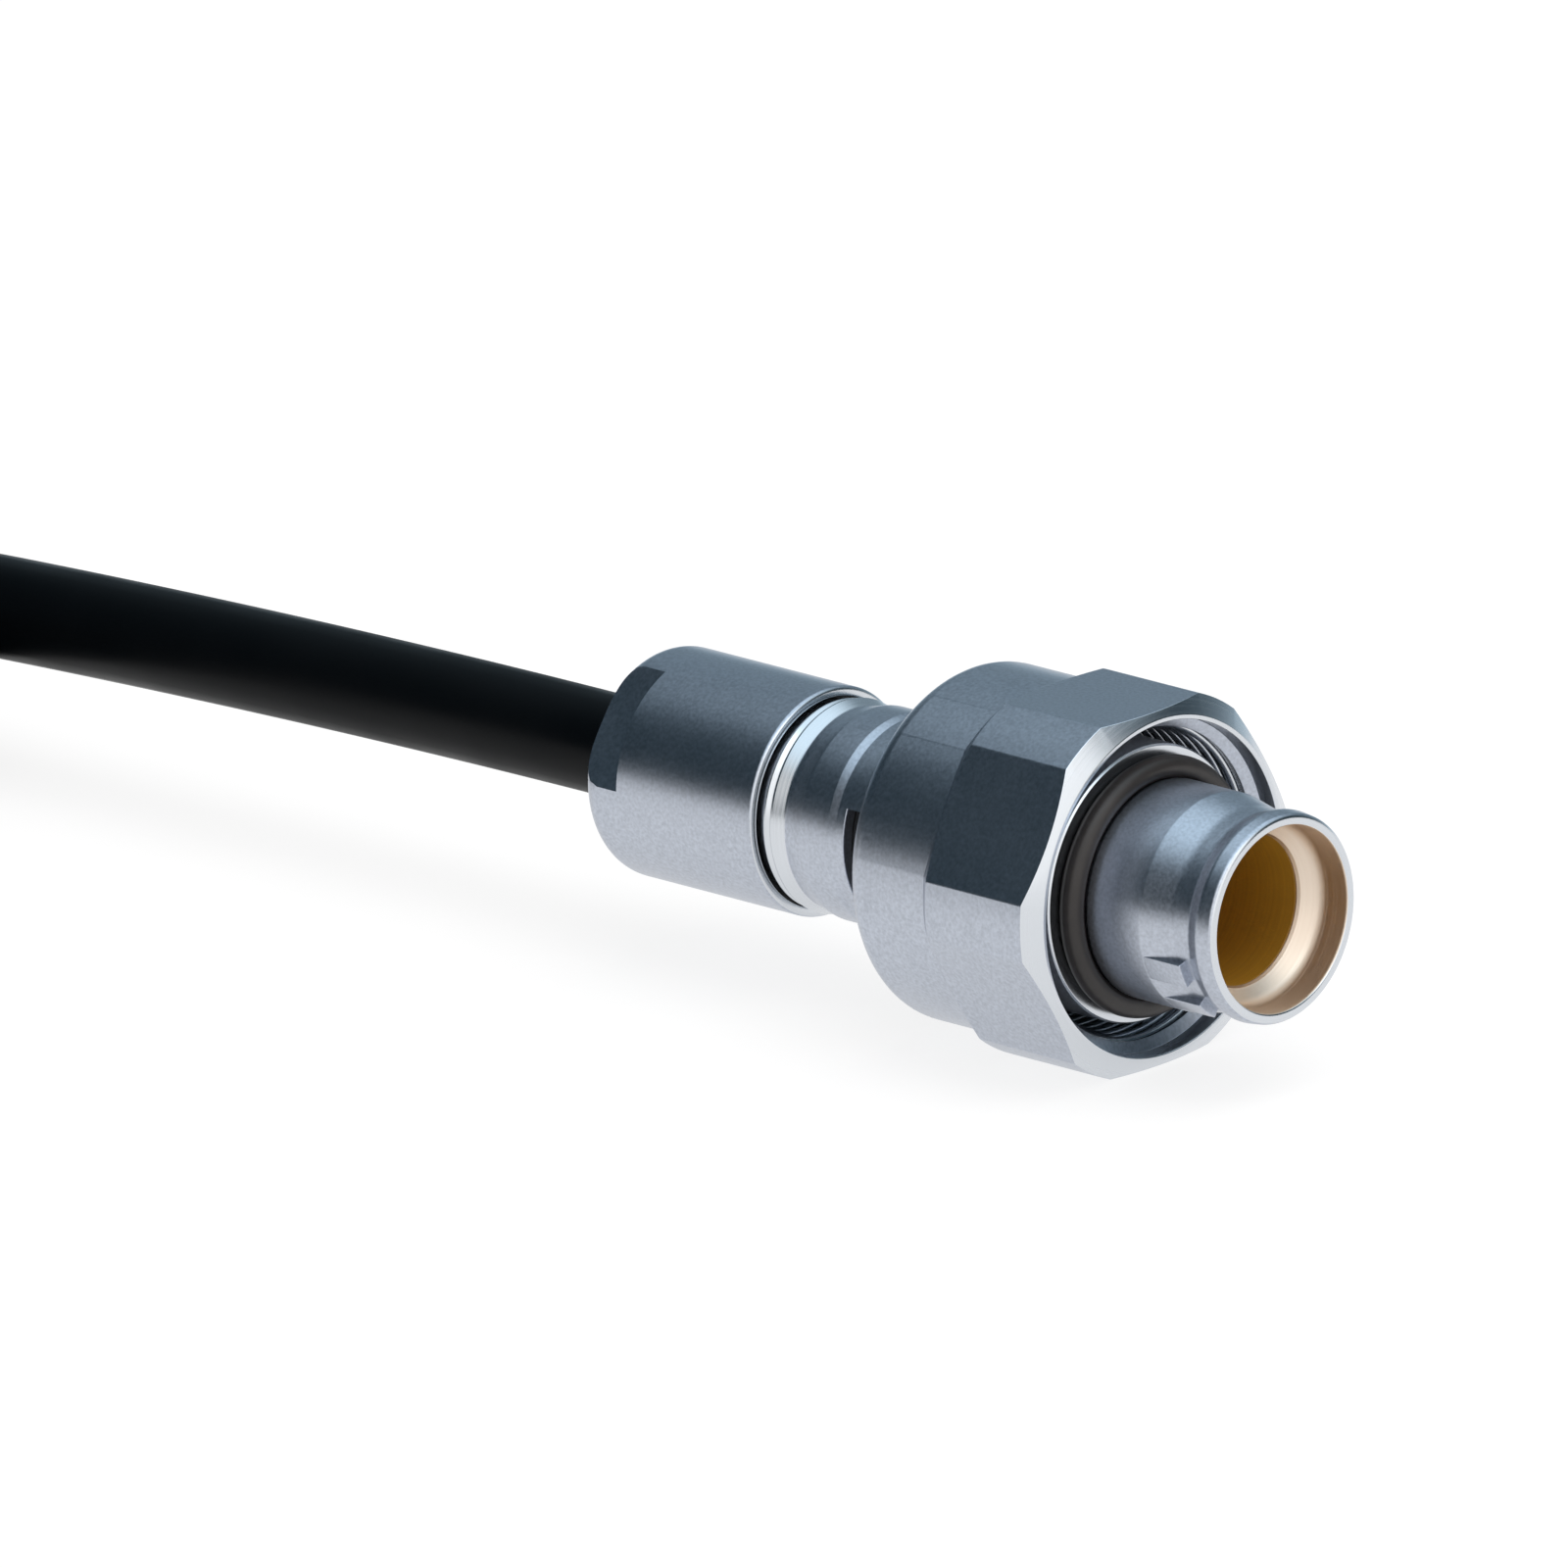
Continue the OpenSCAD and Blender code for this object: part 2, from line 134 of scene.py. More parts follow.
class PlugSizes(bpy.types.PropertyGroup):
    """Sizes of the turned metal pieces and the seals"""

    nose_bore: length("Nose bore", "Radius of the socket inside the nose's rim", 5.2)
    cone_end: length("Cone end", "Radius at the inner edge of the bright cone", 4.2)
    rim: length("Rim", "Radius of the nose's front band", 5.92)
    neck: length("Neck", "Radius of the neck behind the band", 5.68)
    root: length("Root", "Radius of the guide cylinder", 6.1)
    key_top: length("Key top", "Radius at the tops of the guide keys", 6.1)
    key_width: length("Key width", "Width of each guide key", 1.45)
    key_turn: turn("Key turn", "Upper key's angle above level on the near side", -22)
    key_pitch: turn("Key pitch", "Angle between the two keys", 29.5)
    seal_seat: length("Seal seat", "Radius under the face seal", 5.9)
    seal_section: length("Seal section", "Diameter of the face seal's section", 1.34)
    shoulder: length("Shoulder", "Radius of the shoulder behind the seal", 7.73)
    across_flats: length("Across flats", "Size of the nut's hexagon", 20)
    corner: length("Corner", "Radius of the nut's turned corners", 10.73)
    collar: length("Collar", "Radius of the collar behind the hexagon", 9.95)
    face: length("Face", "Outer radius of the nut's narrow front face", 9.58)
    mouth: length("Mouth", "Radius of the nut's mouth", 9.33)
    thread_wall: length("Thread wall", "Radius of the wall that carries the thread", 8.95)
    thread_pitch: length("Thread pitch", "Advance of the coupling thread in one turn", 0.8)
    thread_depth: length("Thread depth", "Height of the thread's ridge", 0.45)
    journal: length("Journal", "Radius that the nut turns on", 5.5)
    insert: length("Insert", "Outer radius of the insulating cup", 4.48)
    pin: length("Pin", "Diameter of a contact pin", 1.3)
    pin_circle: length("Pin circle", "Radius of the circle that the pins stand on", 2)
    spigot: length("Spigot", "Radius of the shell's tail", 5.1)
    skirt: length("Skirt", "Radius of the slotted skirt", 5.85)
    slot_turn: turn("Slot turn", "Upper edge of the near slot above level", 22.8)
    slot_span: turn("Slot span", "Angle that each slot spans", 100)
    band: length("Band", "Radius of the rear body's plain band", 6)
    tail: length("Tail", "Radius of the rear body's threaded tail", 5.45)
    backnut: length("Backnut", "Radius of the backnut", 6.41)
    backnut_flats: length("Backnut flats", "Size across the backnut's two flats", 10.65)
    backnut_turn: turn("Backnut turn", "Near flat's angle above level", 36)


class LeadSizes(bpy.types.PropertyGroup):
    """Sizes of the cable and its stored bundle"""

    diameter: length("Diameter", "Diameter of the cable", 5.7)
    lane: length("Lane", "Distance between two runs that lie side by side", 5.8)
    floor_drop: length("Floor drop", "Depth of the floor under the plug's axis", 10)
    near_loop: length("Near loop", "Distance of the near loops behind the nose's front edge", 112.8)
    run: length("Run", "Length of the bundle's straight runs", 85.6)
    strap: length("Strap", "Thickness of a strap tie", 0.5)
    strap_width: length("Strap width", "Width of a strap tie", 12)
    wire: length("Wire", "Diameter of an insulated wire", 1.2)
    strip: length("Strip", "Length of the stripped wires", 10)


class PlugColours(bpy.types.PropertyGroup):
    """Colours of the finishes"""

    nickel: colour("Nickel", "Blasted and plated outer metal", "#c2c8d3")
    turned: colour("Turned nickel", "Bright edges and thread", "#d3d7dc")
    warm: colour("Warm nickel", "Metal inside the nose", "#e2d3c3")
    seal: colour("Seal", "Face seal's rubber", "#241f1d")
    amber: colour("Amber", "Insulating cup", "#b98a2b")
    gold: colour("Gold", "Contact pins", "#e2b65c")
    # Black is the rear seal's rubber, and also painted shade on the shell's spigot
    black: colour("Black", "Rear seal and sealed spigot", "#0c0d0f")
    jacket: colour("Jacket", "Cable jacket", "#06090c")
    strap: colour("Strap", "Strap ties", "#17191d")
    tin: colour("Tin", "Bare wire ends", "#cfccc6")
    red: colour("Red wire", "First wire", "#a3231c")
    blue: colour("Blue wire", "Second wire", "#1f4aa0")
    green: colour("Green wire", "Third wire", "#2b7d46")
    ivory: colour("Ivory wire", "Fourth wire", "#e6dfcb")


class StudioLook(bpy.types.PropertyGroup):
    """Camera, floor and light"""

    azimuth: turn("Azimuth", "Camera's turn round the plug", 43.439)
    elevation: turn("Elevation", "Camera's height angle", 18.035)
    roll: turn("Roll", "Camera's turn round its own axis", -1.762)
    distance: length("Distance", "Camera's distance from the nose", 3171.1)
    aside: length("Aside", "How far the camera stands to the left of the nose", 26.677)
    above: length("Above", "How far the camera stands above the line to the nose", 8.138)
    lens: share("Lens", "Focal length in millimetres", 1349.97)
    floor: colour("Floor", "Floor and backdrop", "#f4f4f4")


def fill(tree, node, inputs):
    """Gives a node its values and its links"""
    for key, value in inputs.items():
        if isinstance(value, bpy.types.NodeSocket):
            tree.links.new(value, node.inputs[key])
        else:
            node.inputs[key].default_value = value


def add(tree, kind, inputs=(), **settings):
    """Adds a node with its settings, its values and its links"""
    made = tree.nodes.new(kind)
    for key, value in settings.items():
        setattr(made, key, value)
    fill(tree, made, dict(inputs))
    return made


def material(name):
    """A new node material with its shader and its Object coordinates"""
    made = bpy.data.materials.new(name)
    made.use_nodes = True
    tree = made.node_tree
    place = add(tree, "ShaderNodeTexCoord").outputs["Object"]
    return made, tree, tree.nodes["Principled BSDF"], place


def per_metre(millimetres):
    """Texture scale whose features have that size"""
    return 1 / (millimetres * MM)


def rgba(value):
    return (*value, 1)


def blasted_nickel(name, tint):
    """Nickel-chrome plate over bead-blasted brass: soft reflections with a fine speckle of dimples"""
    made, tree, shader, place = material(name)
    grain = add(tree, "ShaderNodeTexNoise", {"Vector": place, "Scale": per_metre(0.2), "Detail": 2.0})
    cloud = add(tree, "ShaderNodeTexNoise", {"Vector": place, "Scale": per_metre(3.0), "Detail": 3.0})
    dimples = {"Value": grain.outputs["Fac"], **NOISE_SPAN}
    speckle = add(tree, "ShaderNodeMapRange", {**dimples, "To Min": 0.265, "To Max": 0.31})
    shade = add(tree, "ShaderNodeMapRange", {**dimples, "To Min": 0.78, "To Max": 1.0})
    terms = {0: cloud.outputs["Fac"], 1: 0.06, 2: speckle.outputs["Result"]}
    drift = add(tree, "ShaderNodeMath", terms, operation="MULTIPLY_ADD")
    tones = {0: shade.outputs["Result"], 6: (0, 0, 0, 1), 7: rgba(tint)}
    tone = add(tree, "ShaderNodeMix", tones, data_type="RGBA")
    fill(tree, shader, {"Base Color": tone.outputs[2], "Roughness": drift.outputs[0], "Metallic": 1.0})
    return made


def turned_metal(name, tint, roughness):
    """Bare turned metal: brighter and smoother, with fine rings left by the tool"""
    made, tree, shader, place = material(name)
    split = add(tree, "ShaderNodeSeparateXYZ", {"Vector": place})
    across = add(tree, "ShaderNodeCombineXYZ", {"Y": split.outputs["Y"], "Z": split.outputs["Z"]})
    radius = add(tree, "ShaderNodeVectorMath", {0: across.outputs["Vector"]}, operation="LENGTH")
    rings = add(tree, "ShaderNodeCombineXYZ", {"X": split.outputs["X"], "Y": radius.outputs["Value"]})
    pattern = {"Vector": rings.outputs["Vector"], "Scale": per_metre(0.12), "Detail": 3.0}
    lines = add(tree, "ShaderNodeTexNoise", pattern).outputs["Fac"]
    ends = {"To Min": roughness * 0.85, "To Max": roughness * 1.25}
    gloss = add(tree, "ShaderNodeMapRange", {"Value": lines, **NOISE_SPAN, **ends})
    bump = add(tree, "ShaderNodeBump", {"Height": lines, "Strength": 0.2, "Distance": 0.01 * MM})
    fill(tree, shader, {"Base Color": rgba(tint), "Metallic": 1.0})
    fill(tree, shader, {"Roughness": gloss.outputs["Result"], "Normal": bump.outputs["Normal"]})
    return made


def moulded_rubber(name, tint, roughness):
    """Moulded rubber: near-black, with a dull sheen and faint dust"""
    made, tree, shader, place = material(name)
    grain = add(tree, "ShaderNodeTexNoise", {"Vector": place, "Scale": per_metre(0.25), "Detail": 3.0})
    dust = add(tree, "ShaderNodeTexNoise", {"Vector": place, "Scale": per_metre(1.2), "Detail": 4.0})
    ends = {"From Min": 0.4, "From Max": 0.75, "To Min": 0.0, "To Max": 0.25}
    film = add(tree, "ShaderNodeMapRange", {"Value": dust.outputs["Fac"], **ends})
    pale = tuple(min(1, c * 2.2 + 0.004) for c in tint)
    tones = {0: film.outputs["Result"], 6: rgba(tint), 7: rgba(pale)}
    tone = add(tree, "ShaderNodeMix", tones, data_type="RGBA")
    relief = {"Height": grain.outputs["Fac"], "Strength": 0.2, "Distance": 0.02 * MM}
    bump = add(tree, "ShaderNodeBump", relief)
    fill(tree, shader, {"Base Color": tone.outputs[2], "Normal": bump.outputs["Normal"]})
    fill(tree, shader, {"Roughness": roughness, "IOR": 1.5})
    return made


def machined_amber(name, tint):
    """Machined amber polymer: a deep honey tone with turning rings"""
    made, tree, shader, place = material(name)
    split = add(tree, "ShaderNodeSeparateXYZ", {"Vector": place})
    pattern = {"W": split.outputs["X"], "Scale": per_metre(0.2), "Detail": 2.0}
    rings = add(tree, "ShaderNodeTexNoise", pattern, noise_dimensions="1D").outputs["Fac"]
    deep = tuple(c * 0.72 for c in tint)
    tone = add(tree, "ShaderNodeMix", {0: rings, 6: rgba(deep), 7: rgba(tint)}, data_type="RGBA")
    bump = add(tree, "ShaderNodeBump", {"Height": rings, "Strength": 0.15, "Distance": 0.01 * MM})
    fill(tree, shader, {"Base Color": tone.outputs[2], "Normal": bump.outputs["Normal"]})
    fill(tree, shader, {"Roughness": 0.38, "IOR": 1.6})
    return made


def extruded_plastic(name, tint, roughness, sheen=0.5):
    """Extruded jacket: a smooth skin with a faint orange peel and slow changes of gloss"""
    made, tree, shader, place = material(name)
    peel = add(tree, "ShaderNodeTexNoise", {"Vector": place, "Scale": per_metre(0.5), "Detail": 2.0})
    drift = add(tree, "ShaderNodeTexNoise", {"Vector": place, "Scale": per_metre(6.0), "Detail": 3.0})
    ends = {"To Min": roughness - 0.05, "To Max": roughness + 0.06}
    gloss = add(tree, "ShaderNodeMapRange", {"Value": drift.outputs["Fac"], **NOISE_SPAN, **ends})
    relief = {"Height": peel.outputs["Fac"], "Strength": 0.15, "Distance": 0.02 * MM}
    bump = add(tree, "ShaderNodeBump", relief)
    fill(tree, shader, {"Base Color": rgba(tint), "Specular IOR Level": sheen})
    fill(tree, shader, {"Roughness": gloss.outputs["Result"], "Normal": bump.outputs["Normal"]})
    return made


def loop_strap(name, tint):
    """Woven hook-and-loop strap: matt, with rows of loops and a soft fuzz"""
    made, tree, shader, place = material(name)
    weave = {"Vector": place, "Scale": per_metre(0.8) / 20, "Distortion": 1.5}
    rows = add(tree, "ShaderNodeTexWave", weave)
    fuzz = add(tree, "ShaderNodeTexNoise", {"Vector": place, "Scale": per_metre(0.3), "Detail": 3.0})
    pile = {0: rows.outputs["Fac"], 1: fuzz.outputs["Fac"]}
    nap = add(tree, "ShaderNodeMath", pile, operation="MULTIPLY").outputs[0]
    pale = tuple(c * 2.4 for c in tint)
    tone = add(tree, "ShaderNodeMix", {0: nap, 6: rgba(tint), 7: rgba(pale)}, data_type="RGBA")
    bump = add(tree, "ShaderNodeBump", {"Height": nap, "Strength": 0.6, "Distance": 0.15 * MM})
    fill(tree, shader, {"Base Color": tone.outputs[2], "Normal": bump.outputs["Normal"]})
    fill(tree, shader, {"Roughness": 0.85, "Sheen Weight": 0.3})
    return made


# Each finish: its maker, its material's name, its colour, its roughness and its specular level
FINISHES = {
    "nickel": (blasted_nickel, "Blasted nickel plate", "nickel"),
    "turned": (turned_metal, "Turned nickel plate", "turned", 0.22),
    "warm": (turned_metal, "Turned warm nickel", "warm", 0.42),
    "inner": (turned_metal, "Turned inner nickel", "nickel", 0.24),
    "gold": (turned_metal, "Gold-plated pin", "gold", 0.18),
    "tin": (turned_metal, "Tinned copper strand", "tin", 0.35),
    "seal": (moulded_rubber, "Moulded brown-black rubber", "seal", 0.42),
    # The black finish is rubber on the seals, and painted shade on the shell's spigot
    "black": (moulded_rubber, "Moulded black rubber", "black", 0.5),
    "amber": (machined_amber, "Machined amber polymer", "amber"),
    "jacket": (extruded_plastic, "Extruded black jacket", "jacket", 0.4, 0.1),
    "strap": (loop_strap, "Woven loop strap", "strap"),
    "red": (extruded_plastic, "Red wire insulation", "red", 0.4),
    "blue": (extruded_plastic, "Blue wire insulation", "blue", 0.4),
    "green": (extruded_plastic, "Green wire insulation", "green", 0.4),
    "ivory": (extruded_plastic, "Ivory wire insulation", "ivory", 0.4),
}
MADE = {}


def finish(name):
    """The material of that finish, made once"""
    if name not in MADE:
        maker, title, tint, *gloss = FINISHES[name]
        MADE[name] = maker(title, getattr(bpy.context.scene.plug_colours, tint), *gloss)
    return MADE[name]


def on_axis(radius, station, angle):
    """Point at a radius, a station and an angle above level on the near side, in metres"""
    return Vector((-station, -radius * math.cos(angle), radius * math.sin(angle))) * MM


def rounded(corners, steps=8, hold=0.025):
    """Profile with each corner rounded and held by a point on either side; corners are
    (radius, station, rounding, finish) in millimetres, and a finish covers what follows its corner"""
    most, spare = 0.45, 2.5
    line = []
    for i, (radius, station, rounding, after_finish) in enumerate(corners):
        point = Vector((radius, station))
        if not rounding:
            line.append((*point, after_finish))
            continue
        before = Vector(corners[i - 1][:2]) - point
        after = Vector(corners[(i + 1) % len(corners)][:2]) - point
        half = before.angle(after) / 2
        reach = min(rounding / math.tan(half), before.length * most, after.length * most)
        arc = reach * math.tan(half)
        middle = point + (before.normalized() + after.normalized()).normalized() * (arc / math.sin(half))
        start = point + before.normalized() * reach - middle
        sweep = start.angle_signed(point + after.normalized() * reach - middle)
        if hold and before.length > spare * (reach + hold):
            line.append((*(point + before.normalized() * (reach + hold)), corners[i - 1][3]))
        for k in range(steps + 1):
            spoke = start.copy()
            spoke.rotate(Matrix.Rotation(-sweep * k / steps, 2))
            line.append((*(middle + spoke), after_finish if k >= steps / 2 else corners[i - 1][3]))
        if hold and after.length > spare * (reach + hold):
            line.append((*(point + after.normalized() * (reach + hold)), after_finish))
    return line


def skin(rings, finishes):
    """Closed skin over rings of points, the last joined to the first"""
    bm = bmesh.new()
    rows = [[bm.verts.new(p) for p in ring] for ring in rings]
    for i, row in enumerate(rows):
        following = rows[(i + 1) % len(rows)]
        for k in range(len(row)):
            n = (k + 1) % len(row)
            face = bm.faces.new((row[k], row[n], following[n], following[k]))
            face.material_index = finishes[i]
            face.smooth = True
    return bm


def wrap(columns):
    """Closed skin over profiles that stand at angles round the plug's axis, all with as many points"""
    rings = []
    for row in zip(*[line for _, line in columns]):
        rings.append([on_axis(r, s, a) for (a, _), (r, s, _) in zip(columns, row)])
    bm = skin(rings, [point[2] for point in columns[0][1]])
    bmesh.ops.remove_doubles(bm, verts=bm.verts, dist=MM * 1e-4)
    bmesh.ops.recalc_face_normals(bm, faces=bm.faces)
    return bm


def spin(profile, segments=SEGMENTS):
    """Profile turned round the plug's axis"""
    return wrap([(2 * math.pi * k / segments, profile) for k in range(segments)])


def solid(name, bm, materials):
    """Object of a finished mesh"""
    mesh = bpy.data.meshes.new(name)
    bm.to_mesh(mesh)
    bm.free()
    for each in materials:
        mesh.materials.append(each)
    made = bpy.data.objects.new(name, mesh)
    bpy.context.scene.collection.objects.link(made)
    return made


def piece(name, bm, finishes):
    """Object of a finished mesh in those finishes"""
    return solid(name, bm, [finish(each) for each in finishes])


def settle(made):
    """Turns what the modifiers give into the object's plain mesh"""
    graph = bpy.context.evaluated_depsgraph_get()
    mesh = bpy.data.meshes.new_from_object(made.evaluated_get(graph), depsgraph=graph)
    made.modifiers.clear()
    made.data = mesh
    return made


def node_tree(name, kinds):
    """New Geometry Nodes tree with named inputs, the inputs' identifiers and their sockets"""
    tree = bpy.data.node_groups.new(name, "GeometryNodeTree")
    sockets = {}
    for each, kind in {"Geometry": "Geometry", **kinds, "Finish": "Material"}.items():
        made = tree.interface.new_socket(each, in_out="INPUT", socket_type="NodeSocket" + kind)
        sockets[each] = made.identifier
    tree.interface.new_socket("Geometry", in_out="OUTPUT", socket_type="NodeSocketGeometry")
    return tree, sockets, add(tree, "NodeGroupInput").outputs


def grown(name, tree, sockets, shape, values):
    """Piece that a tree makes: its copies made real, in their finish, as a plain mesh"""
    cover = add(tree, "NodeGroupInput").outputs["Finish"]
    real = add(tree, "GeometryNodeRealizeInstances", {"Geometry": shape}).outputs["Geometry"]
    dressed = add(tree, "GeometryNodeSetMaterial", {"Geometry": real, "Material": cover})
    add(tree, "NodeGroupOutput", {"Geometry": dressed.outputs["Geometry"]})
    made = piece(name, bmesh.new(), [])
    step = made.modifiers.new(tree.name, "NODES")
    step.node_group = tree
    for each, value in values.items():
        step[sockets[each]] = value
    return settle(made)


def keep_flat(made, degrees):
    """Shades wide faces flat up to their rounded edges, and keeps steeper edges sharp"""
    made.data.set_sharp_from_angle(angle=math.radians(degrees))
    weighted = made.modifiers.new("Flat shading", "WEIGHTED_NORMAL")
    weighted.mode = "FACE_AREA"
    weighted.keep_sharp = True
    return settle(made)


def seat(made, body, slot, *nodes):
    """Puts a piece on its body, in place of its solids"""
    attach(made, body)
    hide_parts(*nodes)
    return made


class PLUG_OT_nose(bpy.types.Operator):
    """Turned shell with its nose, guide keys, shoulder and tail"""

    bl_idname = "plug.nose"
    bl_label = "Plug nose"

    def execute(self, context):
        z = context.scene.plug_sizes
        metal, bright, warm, painted_shade = 0, 1, 2, 3
        inner = z.insert / MM + FIT
        corners = [
            (z.nose_bore / MM, 0, 0.14, warm),
            (z.nose_bore / MM, BORE_END + 0.1, 1.2, warm),
            (z.cone_end / MM + 0.1, CONE_END - 0.2, 0.15, warm),
            (z.cone_end / MM, CONE_END, 0.1, warm),
            (z.cone_end / MM, CUP_START, 0.02, warm),
            (inner, CUP_START, 0.02, warm),
            # The spigot's rear end and outer side are painted black: painted shade, so that the skirt's
            # slots look dark inside
            (inner, SPIGOT_END, 0.05, painted_shade),
            (z.spigot / MM, SPIGOT_END, 0.05, painted_shade),
            (z.spigot / MM, SKIRT_START, 0.02, metal),
            (z.journal / MM, SKIRT_START, 0.05, metal),
            (z.journal / MM, FLANGE_END, 0.1, metal),
            (z.shoulder / MM, FLANGE_END, 0.1, metal),
            (z.shoulder / MM, SHOULDER + 0.1, 0.03, bright),
            (z.shoulder / MM - 0.1, SHOULDER, 0.03, bright),
            (z.seal_seat / MM, SHOULDER, 0.1, metal),
            (z.seal_seat / MM, SEAT_START, 0.05, metal),
            (z.root / MM, SEAT_START, 0.06, metal),
            (z.root / MM, ROOT_START, 0.8, metal),
            (z.neck / MM, NECK_END, 2.5, metal),
            (z.neck / MM, NECK_START, 0.9, metal),
            (z.rim / MM, RIM_END, 0.8, metal),
            (z.rim / MM - 0.12, 0, 0.28, bright),
        ]
        bm = spin(rounded(corners))
        for k in range(2):
            self.key(bm, z, z.key_turn - k * z.key_pitch)
        shell = piece("nose_shell", bm, ["nickel", "turned", "warm", "black"])
        seat(shell, "shell", "satin_nickel", "plug_shell")
        return {"FINISHED"}

    def key(self, bm, z, angle):
        """Raised key on the neck, with its edges broken"""
        half = z.key_width / z.neck / 2
        steps, crease = 8, 0.5
        foot = z.neck / MM - 0.2
        angles = [angle + half * (2 * k / steps - 1) for k in range(steps + 1)]
        outline = [(foot, a) for a in angles] + [(z.key_top / MM, a) for a in reversed(angles)]
        ends = [[bm.verts.new(on_axis(r, s, a)) for r, a in outline] for s in (KEY_START, ROOT_START)]
        made = [bm.faces.new(ends[0]), bm.faces.new(list(reversed(ends[1])))]
        for k in range(len(outline)):
            n = (k + 1) % len(outline)
            made.append(bm.faces.new((ends[0][n], ends[0][k], ends[1][k], ends[1][n])))
        bmesh.ops.recalc_face_normals(bm, faces=made)
        sharp = {e for f in made for e in f.edges if e.calc_face_angle(0) > crease}
        bmesh.ops.bevel(bm, geom=list(sharp), offset=0.07 * MM, segments=3, affect="EDGES", profile=0.5)


class PLUG_OT_face_seal(bpy.types.Operator):
    """Rubber ring against the shoulder"""

    bl_idname = "plug.face_seal"
    bl_label = "Face seal"

    def execute(self, context):
        z = context.scene.plug_sizes
        section = z.seal_section / MM / 2
        middle = z.seal_seat / MM + section + FIT
        steps = 40
        profile = []
        for k in range(steps):
            a = 2 * math.pi * k / steps
            profile.append((middle + section * math.cos(a), SEAL_MIDDLE + section * math.sin(a), 0))
        seal = piece("face_ring", spin(profile), ["seal"])
        seat(seal, "shell", "seal_rubber", "face_seal")
        return {"FINISHED"}


